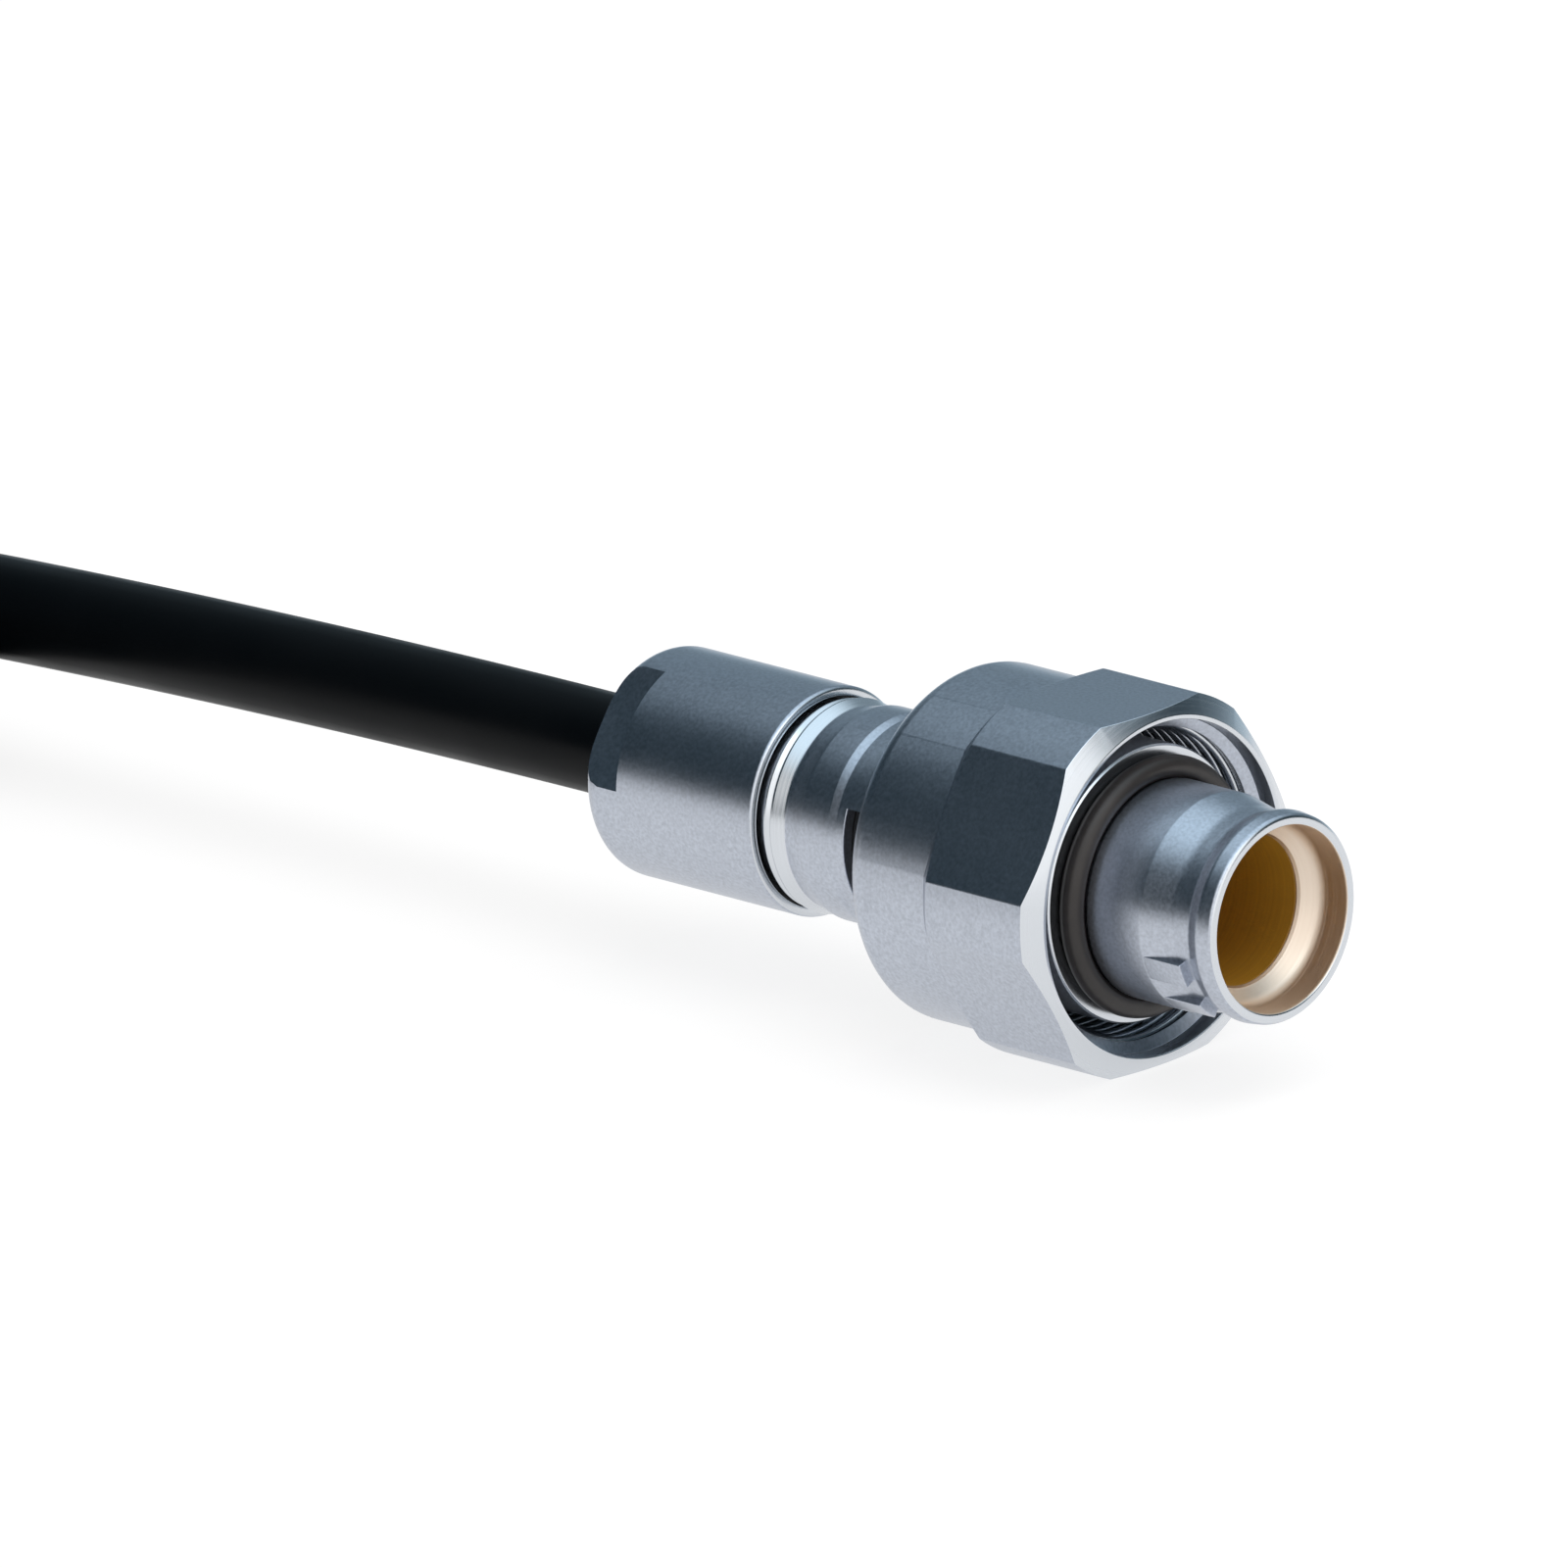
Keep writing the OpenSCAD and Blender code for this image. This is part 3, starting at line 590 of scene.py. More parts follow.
class PLUG_OT_coupling_nut(bpy.types.Operator):
    """Hex coupling nut with turned corners, a collar and its inner thread"""

    bl_idname = "plug.coupling_nut"
    bl_label = "Coupling nut"

    def execute(self, context):
        z = context.scene.plug_sizes
        columns = [(a, self.outline(z, limit)) for a, limit in self.sides(z)]
        nut = piece("hex_nut", wrap(columns), ["nickel", "turned"])
        keep_flat(nut, 40)
        seat(nut, "nut", "satin_nickel", "coupling_nut")
        self.thread(z)
        return {"FINISHED"}

    def outline(self, z, limit):
        """Nut's profile where its outer side has that radius"""
        metal, bright = 0, 1
        face, corner, collar = z.face / MM, z.corner / MM, z.collar / MM
        wall, hole = z.thread_wall / MM, z.journal / MM + RUN_GAP
        front = NUT_FRONT + (limit - face) * math.tan(math.radians(30))
        proud = max(0, (limit - collar) / (corner - collar))
        corners = [
            (z.mouth / MM, NUT_FRONT, 0.08, bright),
            (face, NUT_FRONT, 0.2, bright),
            (limit, front, 0.06, metal),
            (limit, HEX_END - 0.35 * proud, 0.1, metal),
            (collar, HEX_END + 0.05 + 0.45 * proud, 0.2, metal),
            (collar, NUT_END, 1.3, metal),
            (hole, NUT_END, 0.05, metal),
            (hole, WEB, 0.1, metal),
            (wall, WEB, 0.1, bright),
            (wall, THREAD_START, 0.05, bright),
            (wall - z.thread_depth / MM * 0.85, THREAD_START, 0.08, metal),
            (z.mouth / MM, MOUTH_END, 0.08, bright),
        ]
        return rounded(corners, hold=0)

    def sides(self, z):
        """Angles round the nut, each with the radius of its six-sided outer side there"""
        apothem, corner = z.across_flats / MM / 2, z.corner / MM
        edge, half_side = math.acos(apothem / corner), math.radians(30)
        soft, blend = math.radians(0.45), 0.03
        half = [(edge - soft) * k / 8 for k in range(8)]
        half += [edge + soft * (k / 3 - 1) for k in range(7)]
        half += [edge + soft + (half_side - edge - soft) * k / 3 for k in range(1, 4)]
        made = []
        for side in range(6):
            for a in [*[-a for a in reversed(half[1:-1])], *half]:
                flat = apothem / math.cos(a)
                near = max(0, 1 - abs(flat - corner) / blend)
                made.append((half_side * (2 * side + 1) + a, min(flat, corner) - near**2 * blend / 4))
        return made

    def thread(self, z):
        """Ridge of the coupling thread, swept along a spiral"""
        foot_share, crest_share, sunk_share = 0.82, 0.16, 0.45
        floats = ("Wall radius", "Pitch", "Turns", "Depth", "Start")
        tree, sockets, given = node_tree("Coupling thread", {each: "Float" for each in floats})
        rise = add(tree, "ShaderNodeMath", {0: given["Pitch"], 1: given["Turns"]}, operation="MULTIPLY")
        base = add(tree, "ShaderNodeMath", {0: given["Pitch"], 1: foot_share}, operation="MULTIPLY")
        crest = add(tree, "ShaderNodeMath", {0: given["Pitch"], 1: crest_share}, operation="MULTIPLY")
        back = add(tree, "ShaderNodeMath", {0: given["Start"], 1: -1.0}, operation="MULTIPLY")
        helix = {
            "Resolution": 96,
            "Rotations": given["Turns"],
            "Start Radius": given["Wall radius"],
            "End Radius": given["Wall radius"],
            "Height": rise.outputs[0],
        }
        spiral = add(tree, "GeometryNodeCurveSpiral", helix).outputs["Curve"]
        upright = add(tree, "GeometryNodeSetCurveNormal", {"Curve": spiral}, mode="Z_UP")
        tooth = {
            "Height": given["Depth"],
            "Bottom Width": base.outputs[0],
            "Top Width": crest.outputs[0],
            "Offset": 0.0,
        }
        section = add(tree, "GeometryNodeCurvePrimitiveQuadrilateral", tooth, mode="TRAPEZOID")
        inward = {"Geometry": section.outputs["Curve"], "Rotation": (0, 0, math.radians(-90))}
        stood = add(tree, "GeometryNodeTransform", inward).outputs["Geometry"]
        sweep = {"Curve": upright.outputs["Curve"], "Profile Curve": stood, "Fill Caps": True}
        ridge = add(tree, "GeometryNodeCurveToMesh", sweep).outputs["Mesh"]
        shift = add(tree, "ShaderNodeCombineXYZ", {"X": back.outputs[0]}).outputs["Vector"]
        along = {"Geometry": ridge, "Translation": shift, "Rotation": (0, math.radians(-90), 0)}
        placed = add(tree, "GeometryNodeTransform", along).outputs["Geometry"]
        sizes = {
            "Wall radius": z.thread_wall - z.thread_depth * sunk_share,
            "Pitch": z.thread_pitch,
            "Turns": (FLANGE_END - THREAD_START) * MM / z.thread_pitch,
            "Depth": z.thread_depth,
            "Start": THREAD_START * MM,
            "Finish": finish("turned"),
        }
        made = grown("nut_thread", tree, sockets, placed, sizes)
        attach(made, "nut")


class PLUG_OT_insert(bpy.types.Operator):
    """Amber insulating cup with its gold pins"""

    bl_idname = "plug.insert"
    bl_label = "Insert and pins"

    def execute(self, context):
        z = context.scene.plug_sizes
        wall = z.cone_end / MM
        corners = [
            (wall, CUP_START + FIT, 0.05, 0),
            (wall, CUP_FLOOR, 0.25, 0),
            (0, CUP_FLOOR, 0, 0),
            (0, CUP_END, 0, 0),
            (z.insert / MM, CUP_END, 0.05, 0),
            (z.insert / MM, CUP_START + FIT, 0.03, 0),
        ]
        cup = piece("amber_cup", spin(rounded(corners)), ["amber"])
        seat(cup, "shell", "insulator", "cup_insulator")
        self.pins(z)
        return {"FINISHED"}

    def pins(self, z):
        """Four pins set on a circle"""
        radius = z.pin / MM / 2
        corners = [
            (0, PIN_TIP, 0, 0),
            (radius, PIN_TIP, 0.4, 0),
            (radius, PIN_END, 0.1, 0),
            (0, PIN_END, 0, 0),
        ]
        model = piece("pin_model", spin(rounded(corners), THIN_SEGMENTS), ["gold"])
        kinds = {"Pin": "Object", "Count": "Int", "Circle radius": "Float"}
        tree, sockets, given = node_tree("Pins on a circle", kinds)
        ring = {"Vertices": given["Count"], "Radius": given["Circle radius"]}
        shape = add(tree, "GeometryNodeMeshCircle", ring).outputs["Mesh"]
        for tilt in ((0, math.radians(90), 0), (math.radians(45), 0, 0)):
            turned = add(tree, "GeometryNodeTransform", {"Geometry": shape, "Rotation": tilt})
            shape = turned.outputs["Geometry"]
        source = add(tree, "GeometryNodeObjectInfo", {"Object": given["Pin"]}).outputs["Geometry"]
        copies = add(tree, "GeometryNodeInstanceOnPoints", {"Points": shape, "Instance": source})
        sizes = {"Pin": model, "Count": 4, "Circle radius": z.pin_circle, "Finish": finish("gold")}
        pins = grown("contact_pins", tree, sockets, copies.outputs["Instances"], sizes)
        bpy.data.objects.remove(model)
        seat(pins, "shell", "gold_contact", "contact_1", "contact_2", "contact_3", "contact_4")


class PLUG_OT_rear_body(bpy.types.Operator):
    """Slotted rear body with its thread beads, and the rear seal"""

    bl_idname = "plug.rear_body"
    bl_label = "Rear body"

    def execute(self, context):
        z = context.scene.plug_sizes
        columns = [(a, self.outline(z, start)) for a, start in self.slots(z)]
        body = piece("slotted_body", wrap(columns), ["nickel", "turned"])
        keep_flat(body, 40)
        seat(body, "shell", "satin_nickel", "rear_body")
        tail, mouth = z.tail / MM + FIT, z.backnut / MM - 0.44
        ring = [
            (tail, SEAT_END - 0.45, 0.08, 0),
            (tail, SEAT_END - FIT, 0.08, 0),
            (mouth, SEAT_END - FIT, 0.08, 0),
            (mouth, SEAT_END - 0.45, 0.12, 0),
        ]
        seal = piece("rear_ring", spin(rounded(ring)), ["black"])
        seat(seal, "shell", "seal_rubber", "rear_seal")
        return {"FINISHED"}

    def outline(self, z, start):
        """Rear body's profile where its skirt starts at that station"""
        metal, bright = 0, 1
        band, tail, skirt, hole = z.band / MM, z.tail / MM, z.skirt / MM, z.spigot / MM + FIT
        bead, groove, land = BEAD_END - BAND_END, band - 0.36, band - 0.14
        corners = [
            (hole, start, 0.03, metal),
            (hole, SPIGOT_END, 0.03, metal),
            (BODY_BORE, SPIGOT_END, 0.03, metal),
            (BODY_BORE, TAIL_END, 0.05, bright),
            (tail, TAIL_END, 0.2, bright),
            (tail, SEAT_END - 0.5, 0.05, bright),
            (groove, SEAT_END - 0.5, 0.05, bright),
            (groove, BAND_END + 0.98 * bead, 0.05, bright),
            (land, BAND_END + 0.94 * bead, 0.06, bright),
            (land, BAND_END + 0.9 * bead, 0.06, bright),
            (groove, BAND_END + 0.79 * bead, 0.04, bright),
            (band - 0.3, BAND_END + 0.74 * bead, 0.03, bright),
            (band - 0.03, BAND_END + 0.71 * bead, 0.06, bright),
            (band, BAND_END + 0.65 * bead, 0.06, bright),
            (band - 0.34, BAND_END + 0.37 * bead, 0.3, metal),
            (band, BAND_END - 0.5, 0.9, metal),
            (band, BAND_START + 0.35, 0.35, metal),
            (skirt, BAND_START - 0.15, 0.3, metal),
            (skirt, start, 0.1, metal),
        ]
        return rounded(corners, hold=0)

    def slots(self, z):
        """Angles round the skirt, each with the station where the skirt starts there"""
        steps = 48
        made = []
        for top in (z.slot_turn, z.slot_turn + math.pi):
            for k in range(steps + 1):
                made.append((top - z.slot_span * (1 - k / steps), SLOT_END))
            for k in range(steps + 1):
                made.append((top + (math.pi - z.slot_span) * k / steps, SKIRT_START))
        return made


class PLUG_OT_backnut(bpy.types.Operator):
    """Backnut with a rounded rear edge and two spanner flats"""

    bl_idname = "plug.backnut"
    bl_label = "Backnut"

    def execute(self, context):
        z = context.scene.plug_sizes
        cable = context.scene.lead_sizes.diameter / MM / 2 + 0.13
        columns = [(a, self.outline(z, cable, limit)) for a, limit in self.flats(z)]
        nut = piece("clamp_backnut", wrap(columns), ["nickel", "turned"])
        keep_flat(nut, 30)
        seat(nut, "shell", "satin_nickel", "backnut")
        return {"FINISHED"}

    def outline(self, z, cable, limit):
        """Backnut's profile where its flats leave that radius"""
        metal, bright = 0, 1
        outer, tail = z.backnut / MM, z.tail / MM + RUN_GAP
        mouth, lip = outer - 0.41, outer - 0.54
        end, steps = 1.5, 12
        tilt = math.asin((limit - outer + end) / end)
        arc = []
        for k in range(steps + 1):
            a = tilt * k / steps
            station = BACKNUT_END - end + end * math.cos(a)
            arc.append((outer - end + end * math.sin(a), station, 0, metal))
        corners = [
            (lip, BACKNUT_FRONT, 0.1, metal),
            (lip, BACKNUT_FRONT + 0.45, 0.03, metal),
            (mouth, BACKNUT_FRONT + 0.45, 0.03, bright),
            (mouth, SEAT_END, 0.03, bright),
            (tail, SEAT_END, 0.03, bright),
            (tail, POCKET_START, 0.03, bright),
            (POCKET, POCKET_START, 0.03, bright),
            (POCKET, POCKET_END, 0.03, bright),
            (cable, POCKET_END, 0.05, bright),
            (cable, BACKNUT_END - 0.5, 0.1, metal),
            (cable + 0.5, BACKNUT_END, 0.1, metal),
            *arc,
            (limit, FLAT_START, 0, metal),
            (outer, FLAT_START, 0, metal),
            (outer, BACKNUT_FRONT, 0.25, bright),
        ]
        return rounded(corners, hold=0)

    def flats(self, z):
        """Angles round the backnut, each with the radius that the two flats leave there"""
        outer, half = z.backnut / MM, z.backnut_flats / MM / 2
        edge = math.acos(half / outer)
        steps = 40
        made = []
        for middle in (z.backnut_turn, z.backnut_turn + math.pi):
            for k in range(steps):
                a = edge * (2 * k / steps - 1)
                made.append((middle + a, min(outer, half / math.cos(a))))
            for k in range(steps):
                made.append((middle + edge + (math.pi - 2 * edge) * k / steps, outer))
        return made


class PLUG_OT_lead(bpy.types.Operator):
    """Cable from the backnut to its tied bundle, with straps and stripped wires"""

    bl_idname = "plug.lead"
    bl_label = "Lead"

    def execute(self, context):
        z = context.scene.lead_sizes
        points = self.route(z)
        line = bpy.data.curves.new("plug_cable", "CURVE")
        line.dimensions = "3D"
        line.resolution_u = 8
        line.bevel_depth = z.diameter / 2
        line.bevel_resolution = 8
        line.use_fill_caps = True
        spline = line.splines.new("BEZIER")
        spline.bezier_points.add(len(points) - 1)
        for knot, place in zip(spline.bezier_points, points):
            knot.co = place
            knot.handle_left_type = "AUTO"
            knot.handle_right_type = "AUTO"
        line.materials.append(finish("jacket"))
        cable = bpy.data.objects.new("plug_cable", line)
        context.scene.collection.objects.link(cable)
        seat(cable, "shell", "cable_jacket", "cable_lead", "cable_hank")
        straps = [self.strap(z, "far", 0), self.strap(z, "near", -LOOP_LANES * z.lane)]
        wires = self.wires(z)
        return {"FINISHED"}

    def levels(self, z):
        """Heights of the bundle's lower and upper layers"""
        low = -z.floor_drop + z.strap + z.diameter / 2
        return low, low + math.sqrt(z.lane**2 - (z.lane / 2) ** 2)

    def route(self, z):
        """Points of the cable's centre line, from the backnut to the stripped end"""
        low, high = self.levels(z)
        lane, wide = z.lane, LOOP_LANES * z.lane
        near, far = -z.near_loop, -z.near_loop - z.run
        start, rest = -BACKNUT_END * MM, -z.floor_drop + 1.5 * z.diameter + 0.05 * MM
        points = [(-POCKET_END * MM, 0, 0)]
        steps, loop_steps = 18, 12
        for k in range(steps + 1):
            x = start + k / steps * (near - start)
            sag = min(1, (x - start) / (-LEAD_LEVEL * MM - start))
            points.append((x, 0, rest * sag**2))

        def run(y, heights, onward):
            ends = (near, far) if onward else (far, near)
            for k, height in enumerate(heights, 1):
                points.append((ends[0] + (ends[1] - ends[0]) * k / (len(heights) + 1), y, height))

        def loop(x, middle, radius, side, height):
            for k in range(loop_steps + 1):
                a = math.pi * (k / loop_steps - 0.5)
                across = radius * math.sin(a) * side
                points.append((x + side * radius * math.cos(a), middle + across, height(a)))

        def down(a):
            """Height of a near loop, which leaves the strap's level and lies on the floor"""
            return low - z.strap * min(1, 2.5 * math.cos(a))

        def over(a):
            """Height of the loop that rolls over the loop below it"""
            inner, outer, shift = 3.25 * lane, 3.5 * lane, 0.75 * lane
            beside = math.sqrt(inner**2 + shift**2 - 2 * inner * shift * math.sin(a)) - outer
            foot = 0.35 * MM
            return down(a) + math.sqrt(max(0, lane**2 - beside**2) + foot**2)

        def level(height):
            return lambda a: height

        run(0, (high + (rest - high) * 0.5, high, high, high, high), True)
        loop(far, -wide / 2, wide / 2, -1, level(high))
        run(-wide, (high,) * 5, False)
        loop(near, -wide / 2 - lane / 4, 3.25 * lane, 1, over)
        run(-lane / 2, (low,) * 9, True)
        loop(far, -wide / 2, 3 * lane, -1, level(low))
        run(-wide + lane / 2, (low,) * 5, False)
        loop(near, -wide / 2 + lane / 2, 3.5 * lane, 1, down)
        run(lane / 2, (low,) * 5, True)
        loop(far, -wide / 2, 4 * lane, -1, level(low))
        run(-wide - lane / 2, (low,) * 5, False)
        points.append((near, -wide - lane / 2, low))
        return points

    def measure(self, points):
        """Length of the line through the points, with the small bulge of its arcs"""
        total = 0
        for one, two in zip(points, points[1:]):
            total += (Vector(two) - Vector(one)).length
        bulge = 1.001
        return total * bulge

    def strap(self, z, name, y):
        """Strap wrapped tight round three runs"""
        low, high = self.levels(z)
        centres = [
            Vector((y + z.lane / 2, low)),
            Vector((y, high)),
            Vector((y - z.lane / 2, low)),
        ]
        inner = z.diameter / 2 + 0.02 * MM
        steps = 12
        outline = []
        for i, centre in enumerate(centres):
            before = (centre - centres[i - 1]).normalized()
            after = (centres[(i + 1) % 3] - centre).normalized()
            first = math.atan2(-before.x, before.y)
            sweep = (math.atan2(-after.x, after.y) - first) % (2 * math.pi)
            for k in range(steps + 1):
                outline.append((centre, first + sweep * k / steps))
        middle = -z.near_loop - z.run / 2
        half = z.strap_width / 2
        edge = 0.12 * MM
        outer = inner + z.strap
        one_side = [
            (inner, edge - half),
            (inner + edge, -half),
            (outer - edge, -half),
            (outer, edge - half),
        ]
        section = one_side + [(r, -x) for r, x in reversed(one_side)]
        rings = []
        for centre, a in outline:
            ring = []
            for r, x in section:
                flat = centre + Vector((math.cos(a), math.sin(a))) * r
                ring.append(Vector((middle + x, flat.x, flat.y)))
            rings.append(ring)
        bm = skin(rings, [0] * len(rings))
        bmesh.ops.recalc_face_normals(bm, faces=bm.faces)
        made = piece("strap_" + name, bm, ["strap"])
        return seat(made, "shell", "tie_strap", "hank_tie_" + name)

    def wires(self, z):
        """Stripped wires at the cable's end, each with a bare tip"""
        low, _ = self.levels(z)
        y = -LOOP_LANES * z.lane - z.lane / 2
        made = []
        for k, name in enumerate(("red", "blue", "green", "ivory")):
            a = math.radians(45 + 90 * k)
            centre = Vector((-z.near_loop, y + MM * math.cos(a), low + MM * math.sin(a)))
            bare, radius = z.strip * 0.6 / MM, z.wire / MM / 2
            strand = radius * 0.62
            corners = [
                (0, -z.strip / MM, 0, 1),
                (strand, -z.strip / MM, 0.12, 1),
                (strand, -bare, 0.02, 0),
                (radius, -bare, 0.1, 0),
                (radius, 1, 0.05, 0),
                (0, 1, 0, 0),
            ]
            bm = spin(rounded(corners), THIN_SEGMENTS)
            bmesh.ops.translate(bm, vec=centre, verts=bm.verts)
            wire = piece("wire_" + name, bm, [name, "tin"])
            made.append(seat(wire, "shell", "wire_insulation", "lead_wires"))
        return made


class PLUG_OT_inner_pieces(bpy.types.Operator):
    """Finishes of the solids that stay inside the plug"""

    bl_idname = "plug.inner_pieces"
    bl_label = "Inner pieces"

    def execute(self, context):
        finishes = {
            "rear_insulator": "amber",
            "conductor_1": "red",
            "conductor_2": "blue",
            "conductor_3": "green",
            "conductor_4": "ivory",
            "carrier_half_upper": "inner",
            "carrier_half_lower": "inner",
            "clamp_collet": "inner",
            "thrust_washer": "inner",
            "gland_seal": "black",
        }
        for node, name in finishes.items():
            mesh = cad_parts[node].data
            mesh.materials.clear()
            mesh.materials.append(finish(name))
        return {"FINISHED"}


class PLUG_OT_studio(bpy.types.Operator):
    """Pale floor, soft light and the camera"""

    bl_idname = "plug.studio"
    bl_label = "Studio"

    def execute(self, context):
        look = context.scene.studio_look
        context.scene.view_settings.view_transform = "Standard"
        self.world(context)
        self.floor(context, look)
        self.tent(context)
        self.lamp(context, "Top softbox", (0.15, 0.1, 0.9), (0, 0, 0), 0.9, 5.0)
        self.lamp(context, "Side softbox", (0.9, 0.35, 0.45), (0, 0, 0), 0.6, 2.0)
        self.camera(context, look)
        return {"FINISHED"}

    def seen(self, tree):
        """One for what the eye, a reflection or a clear piece shows of the background"""
        path = add(tree, "ShaderNodeLightPath").outputs
        shown = path["Is Camera Ray"]
        for each in ("Is Glossy Ray", "Is Transmission Ray"):
            either = add(tree, "ShaderNodeMath", {0: shown, 1: path[each]}, operation="MAXIMUM")
            shown = either.outputs[0]
        return shown

    def world(self, context):
        """White room, dimmer where it lights matt surfaces"""
        world = bpy.data.worlds.new("White room")
        world.use_nodes = True
        tree = world.node_tree
        levels = {"Value": self.seen(tree), "To Min": 0.55, "To Max": 1.0}
        strength = add(tree, "ShaderNodeMapRange", levels).outputs["Result"]
        fill(tree, tree.nodes["Background"], {"Strength": strength, "Color": (1, 1, 1, 1)})
        context.scene.world = world

    def floor(self, context, look):
        """Large pale floor that keeps the shadow under a white veil"""
        made, tree, shader, _ = material("Matt white floor")
        white, shown, side = (1, 1, 1, 1), self.seen(tree), 4
        lift = add(tree, "ShaderNodeMath", {0: shown, 1: 0.25}, operation="MULTIPLY")
        veil = add(tree, "ShaderNodeMath", {0: shown, 1: 0.75}, operation="MULTIPLY")
        fill(tree, shader, {"Base Color": rgba(look.floor), "Roughness": 0.9})
        fill(tree, shader, {"Specular IOR Level": 0.0, "Emission Color": white})
        fill(tree, shader, {"Emission Strength": lift.outputs[0]})
        bright = add(tree, "ShaderNodeEmission", {"Color": white, "Strength": 1.0})
        layers = {0: veil.outputs[0], 1: shader.outputs[0], 2: bright.outputs[0]}
        mixed = add(tree, "ShaderNodeMixShader", layers)
        fill(tree, tree.nodes["Material Output"], {"Surface": mixed.outputs[0]})
        bm = bmesh.new()
        bmesh.ops.create_grid(bm, x_segments=1, y_segments=1, size=side)
        drop = -context.scene.lead_sizes.floor_drop - 0.02 * MM
        bmesh.ops.translate(bm, vec=(0, 0, drop), verts=bm.verts)
        solid("studio_floor", bm, [made])

    def tent(self, context):
        """Dim tent over the plug and its lead that only reflections see, with a softbox overhead,
        a paler far side that is brightest near the floor and a bright opening on the nose's side"""
        made, tree, shader, place = material("Grey tent cloth")
        ray = add(tree, "ShaderNodeVectorMath", {0: place}, operation="NORMALIZE").outputs["Vector"]
        height = add(tree, "ShaderNodeSeparateXYZ", {"Vector": ray}).outputs["Z"]

        def patch(direction, start, full, strength):
            """Strength of a soft-edged patch of cloth round a direction"""
            aim = Vector(direction).normalized()
            along = add(tree, "ShaderNodeVectorMath", {0: ray, 1: aim}, operation="DOT_PRODUCT")
            edge = {"Value": along.outputs["Value"], "From Min": start, "From Max": full}
            ends = {"To Min": 0, "To Max": strength}
            soft = add(tree, "ShaderNodeMapRange", {**edge, **ends}, interpolation_type="SMOOTHSTEP")
            return soft.outputs["Result"]

        behind, radius = (-0.5, 0.86, 0), 0.36
        overhead = patch((0.15, 0.05, 1), 0.55, 0.95, 1.3)
        far = patch(behind, 0.42, 0.85, 0.3)
        opening = patch((0.82, -0.5, 0.25), 0.52, 0.75, 1.3)
        fade = {"Value": height, "From Min": 0.04, "From Max": 0.16, "To Min": 1, "To Max": 0}
        low = add(tree, "ShaderNodeMapRange", fade, interpolation_type="SMOOTHSTEP").outputs["Result"]
        horizon = {0: patch(behind, 0.42, 0.85, 0.5), 1: low, 2: far}
        glow = add(tree, "ShaderNodeMath", horizon, operation="MULTIPLY_ADD").outputs[0]
        dim = add(tree, "ShaderNodeEmission", {"Color": (0.42, 0.75, 1, 1), "Strength": 0.055})
        cloth = dim.outputs[0]
        lights = (((0.7, 0.88, 1), glow), ((1, 0.98, 0.96), opening), ((0.75, 0.9, 1), overhead))
        for tint, strength in lights:
            light = add(tree, "ShaderNodeEmission", {"Color": rgba(tint), "Strength": strength})
            cloth = add(tree, "ShaderNodeAddShader", {0: cloth, 1: light.outputs[0]}).outputs[0]
        fill(tree, tree.nodes["Material Output"], {"Surface": cloth})
        tree.nodes.remove(shader)
        bm = bmesh.new()
        bmesh.ops.create_uvsphere(bm, u_segments=64, v_segments=48, radius=radius)
        below = [v for v in bm.verts if v.co.z < -1e-6]
        bmesh.ops.delete(bm, geom=below, context="VERTS")
        tent = solid("studio_tent", bm, [made])
        tent.location = (-0.02, 0, -context.scene.lead_sizes.floor_drop)
        for rays in ("camera", "diffuse", "shadow", "transmission"):
            setattr(tent, "visible_" + rays, False)

    def lamp(self, context, name, place, aim, size, power):
        """Square softbox that points at the plug"""
        light = bpy.data.lights.new(name, "AREA")
        light.size = size
        light.energy = power
        made = bpy.data.objects.new(name, light)
        made.location = place
        made.rotation_euler = (Vector(aim) - Vector(place)).to_track_quat("-Z", "Y").to_euler()
        made.visible_glossy = False
        context.scene.collection.objects.link(made)

    def camera(self, context, look):
        """Camera at the photograph's angle"""
        a, e, r = look.azimuth, look.elevation, look.roll
        back = Vector((math.sin(a) * math.cos(e), -math.cos(a) * math.cos(e), math.sin(e)))
        right = Vector((math.cos(a), math.sin(a), 0))
        up = back.cross(right)
        place = back * look.distance - right * look.aside + up * look.above
        across = right * math.cos(r) + up * math.sin(r)
        upward = up * math.cos(r) - right * math.sin(r)
        data = bpy.data.cameras.new("Camera")
        data.lens = look.lens
        data.sensor_width = 36
        camera = bpy.data.objects.new("Camera", data)
        turned = Matrix((across, upward, back)).transposed().to_4x4()
        camera.matrix_world = Matrix.Translation(place) @ turned
        context.scene.collection.objects.link(camera)
        context.scene.camera = camera


OPERATORS = (
    PLUG_OT_studio,
    PLUG_OT_lead,
    PLUG_OT_nose,
    PLUG_OT_face_seal,
    PLUG_OT_coupling_nut,
    PLUG_OT_insert,
    PLUG_OT_rear_body,
    PLUG_OT_backnut,
    PLUG_OT_inner_pieces,
)


class PLUG_PT_sidebar(bpy.types.Panel):
    """Lists the plug's pieces in the 3D view's sidebar"""

    bl_idname = "PLUG_PT_sidebar"
    bl_label = "Cable plug"
    bl_space_type = "VIEW_3D"
    bl_region_type = "UI"
    bl_category = "Cable plug"

    def draw(self, context):
        for each in OPERATORS:
            self.layout.operator(each.bl_idname)


GROUPS = {
    "plug_sizes": PlugSizes,
    "lead_sizes": LeadSizes,
    "plug_colours": PlugColours,
    "studio_look": StudioLook,
}


def register():
    for name, group in GROUPS.items():
        bpy.utils.register_class(group)
        setattr(bpy.types.Scene, name, PointerProperty(type=group))
    for each in (*OPERATORS, PLUG_PT_sidebar):
        bpy.utils.register_class(each)


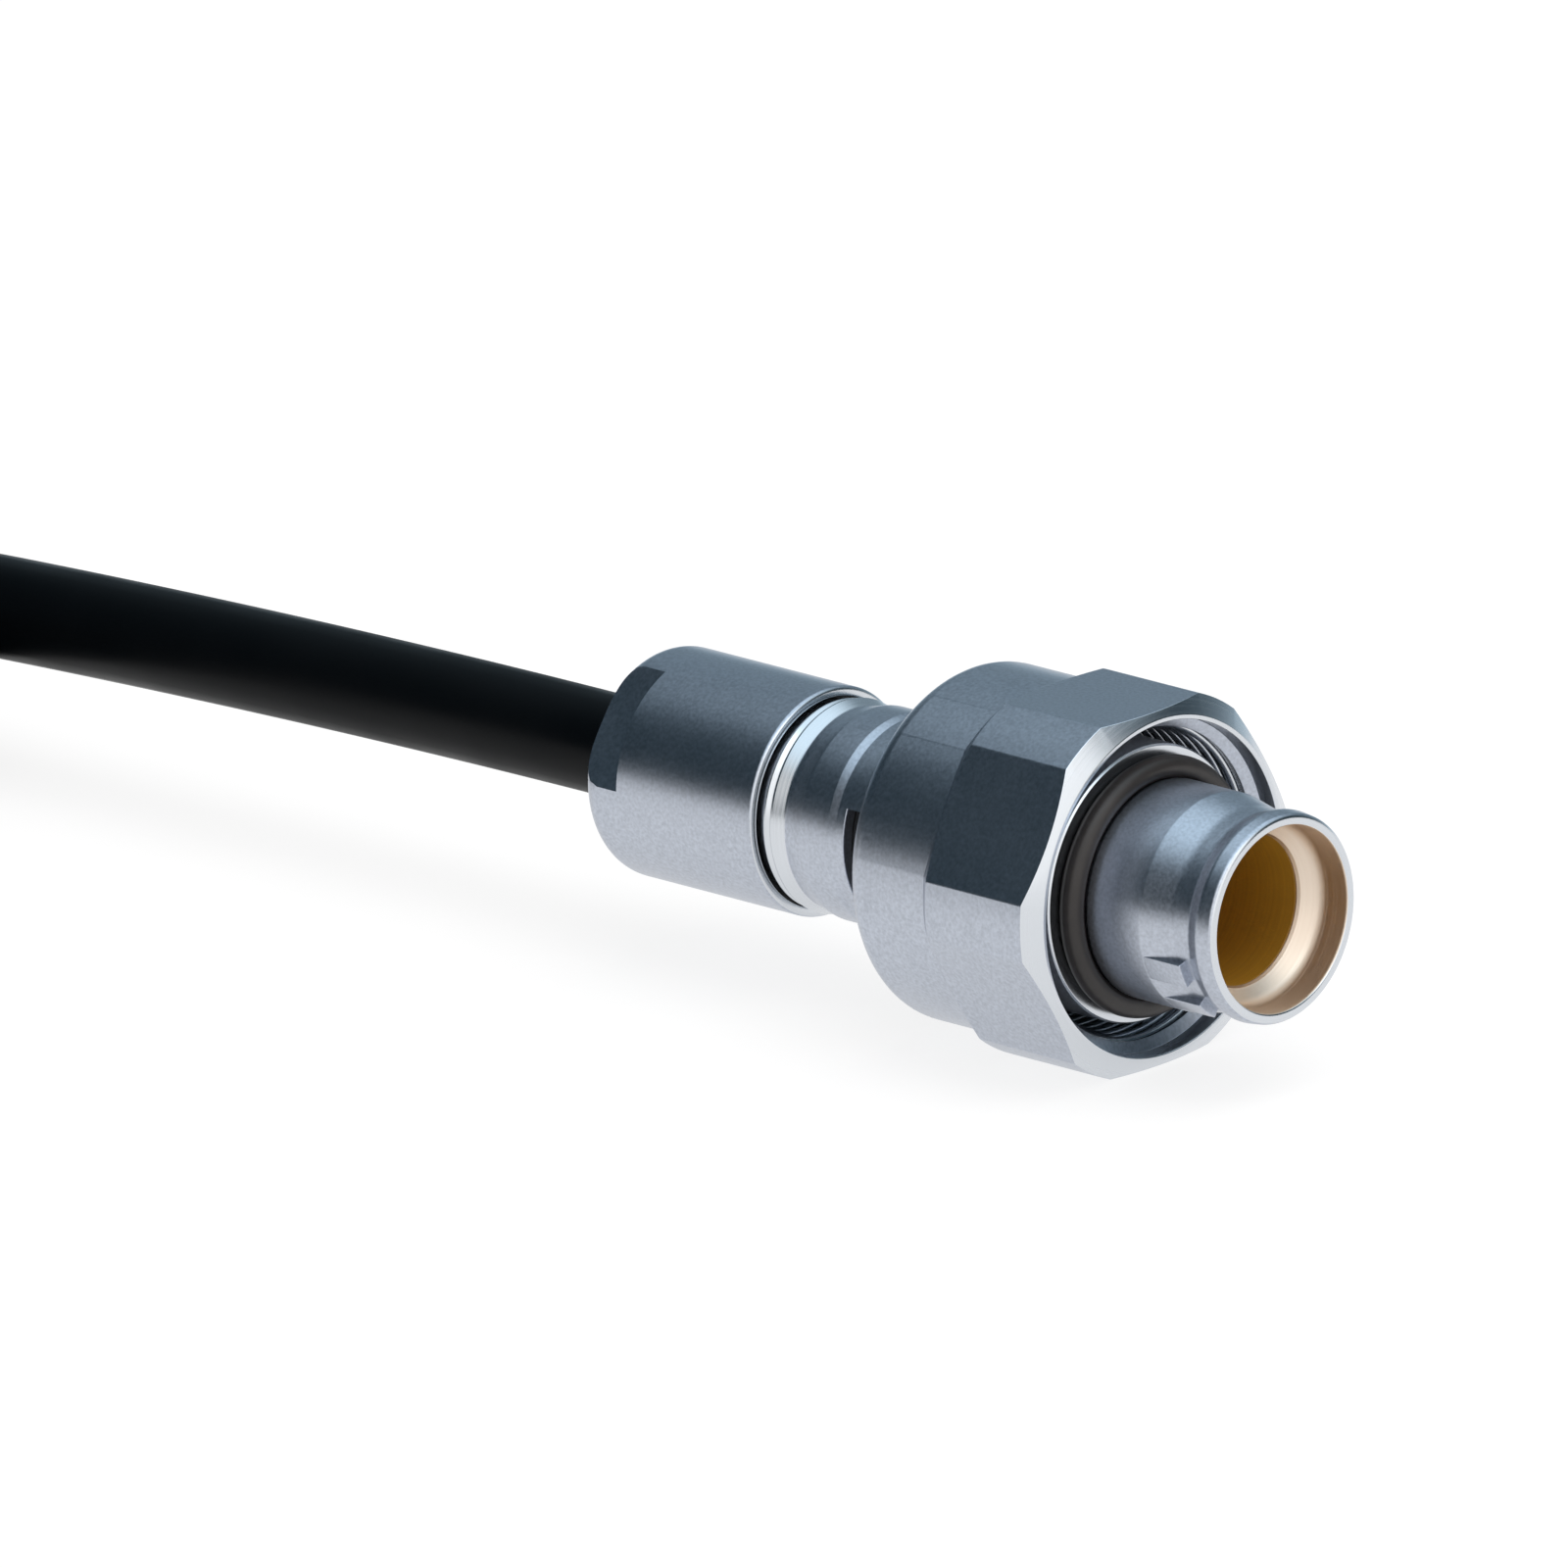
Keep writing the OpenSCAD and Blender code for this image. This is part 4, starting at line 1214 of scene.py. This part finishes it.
def unregister():
    for each in reversed((*OPERATORS, PLUG_PT_sidebar)):
        bpy.utils.unregister_class(each)
    for name, group in GROUPS.items():
        delattr(bpy.types.Scene, name)
        bpy.utils.unregister_class(group)


def main():
    register()
    bpy.ops.plug.studio()
    bpy.ops.plug.lead()
    bpy.ops.plug.nose()
    bpy.ops.plug.face_seal()
    bpy.ops.plug.coupling_nut()
    bpy.ops.plug.insert()
    bpy.ops.plug.rear_body()
    bpy.ops.plug.backnut()
    bpy.ops.plug.inner_pieces()


if __name__ == "__main__":
    main()
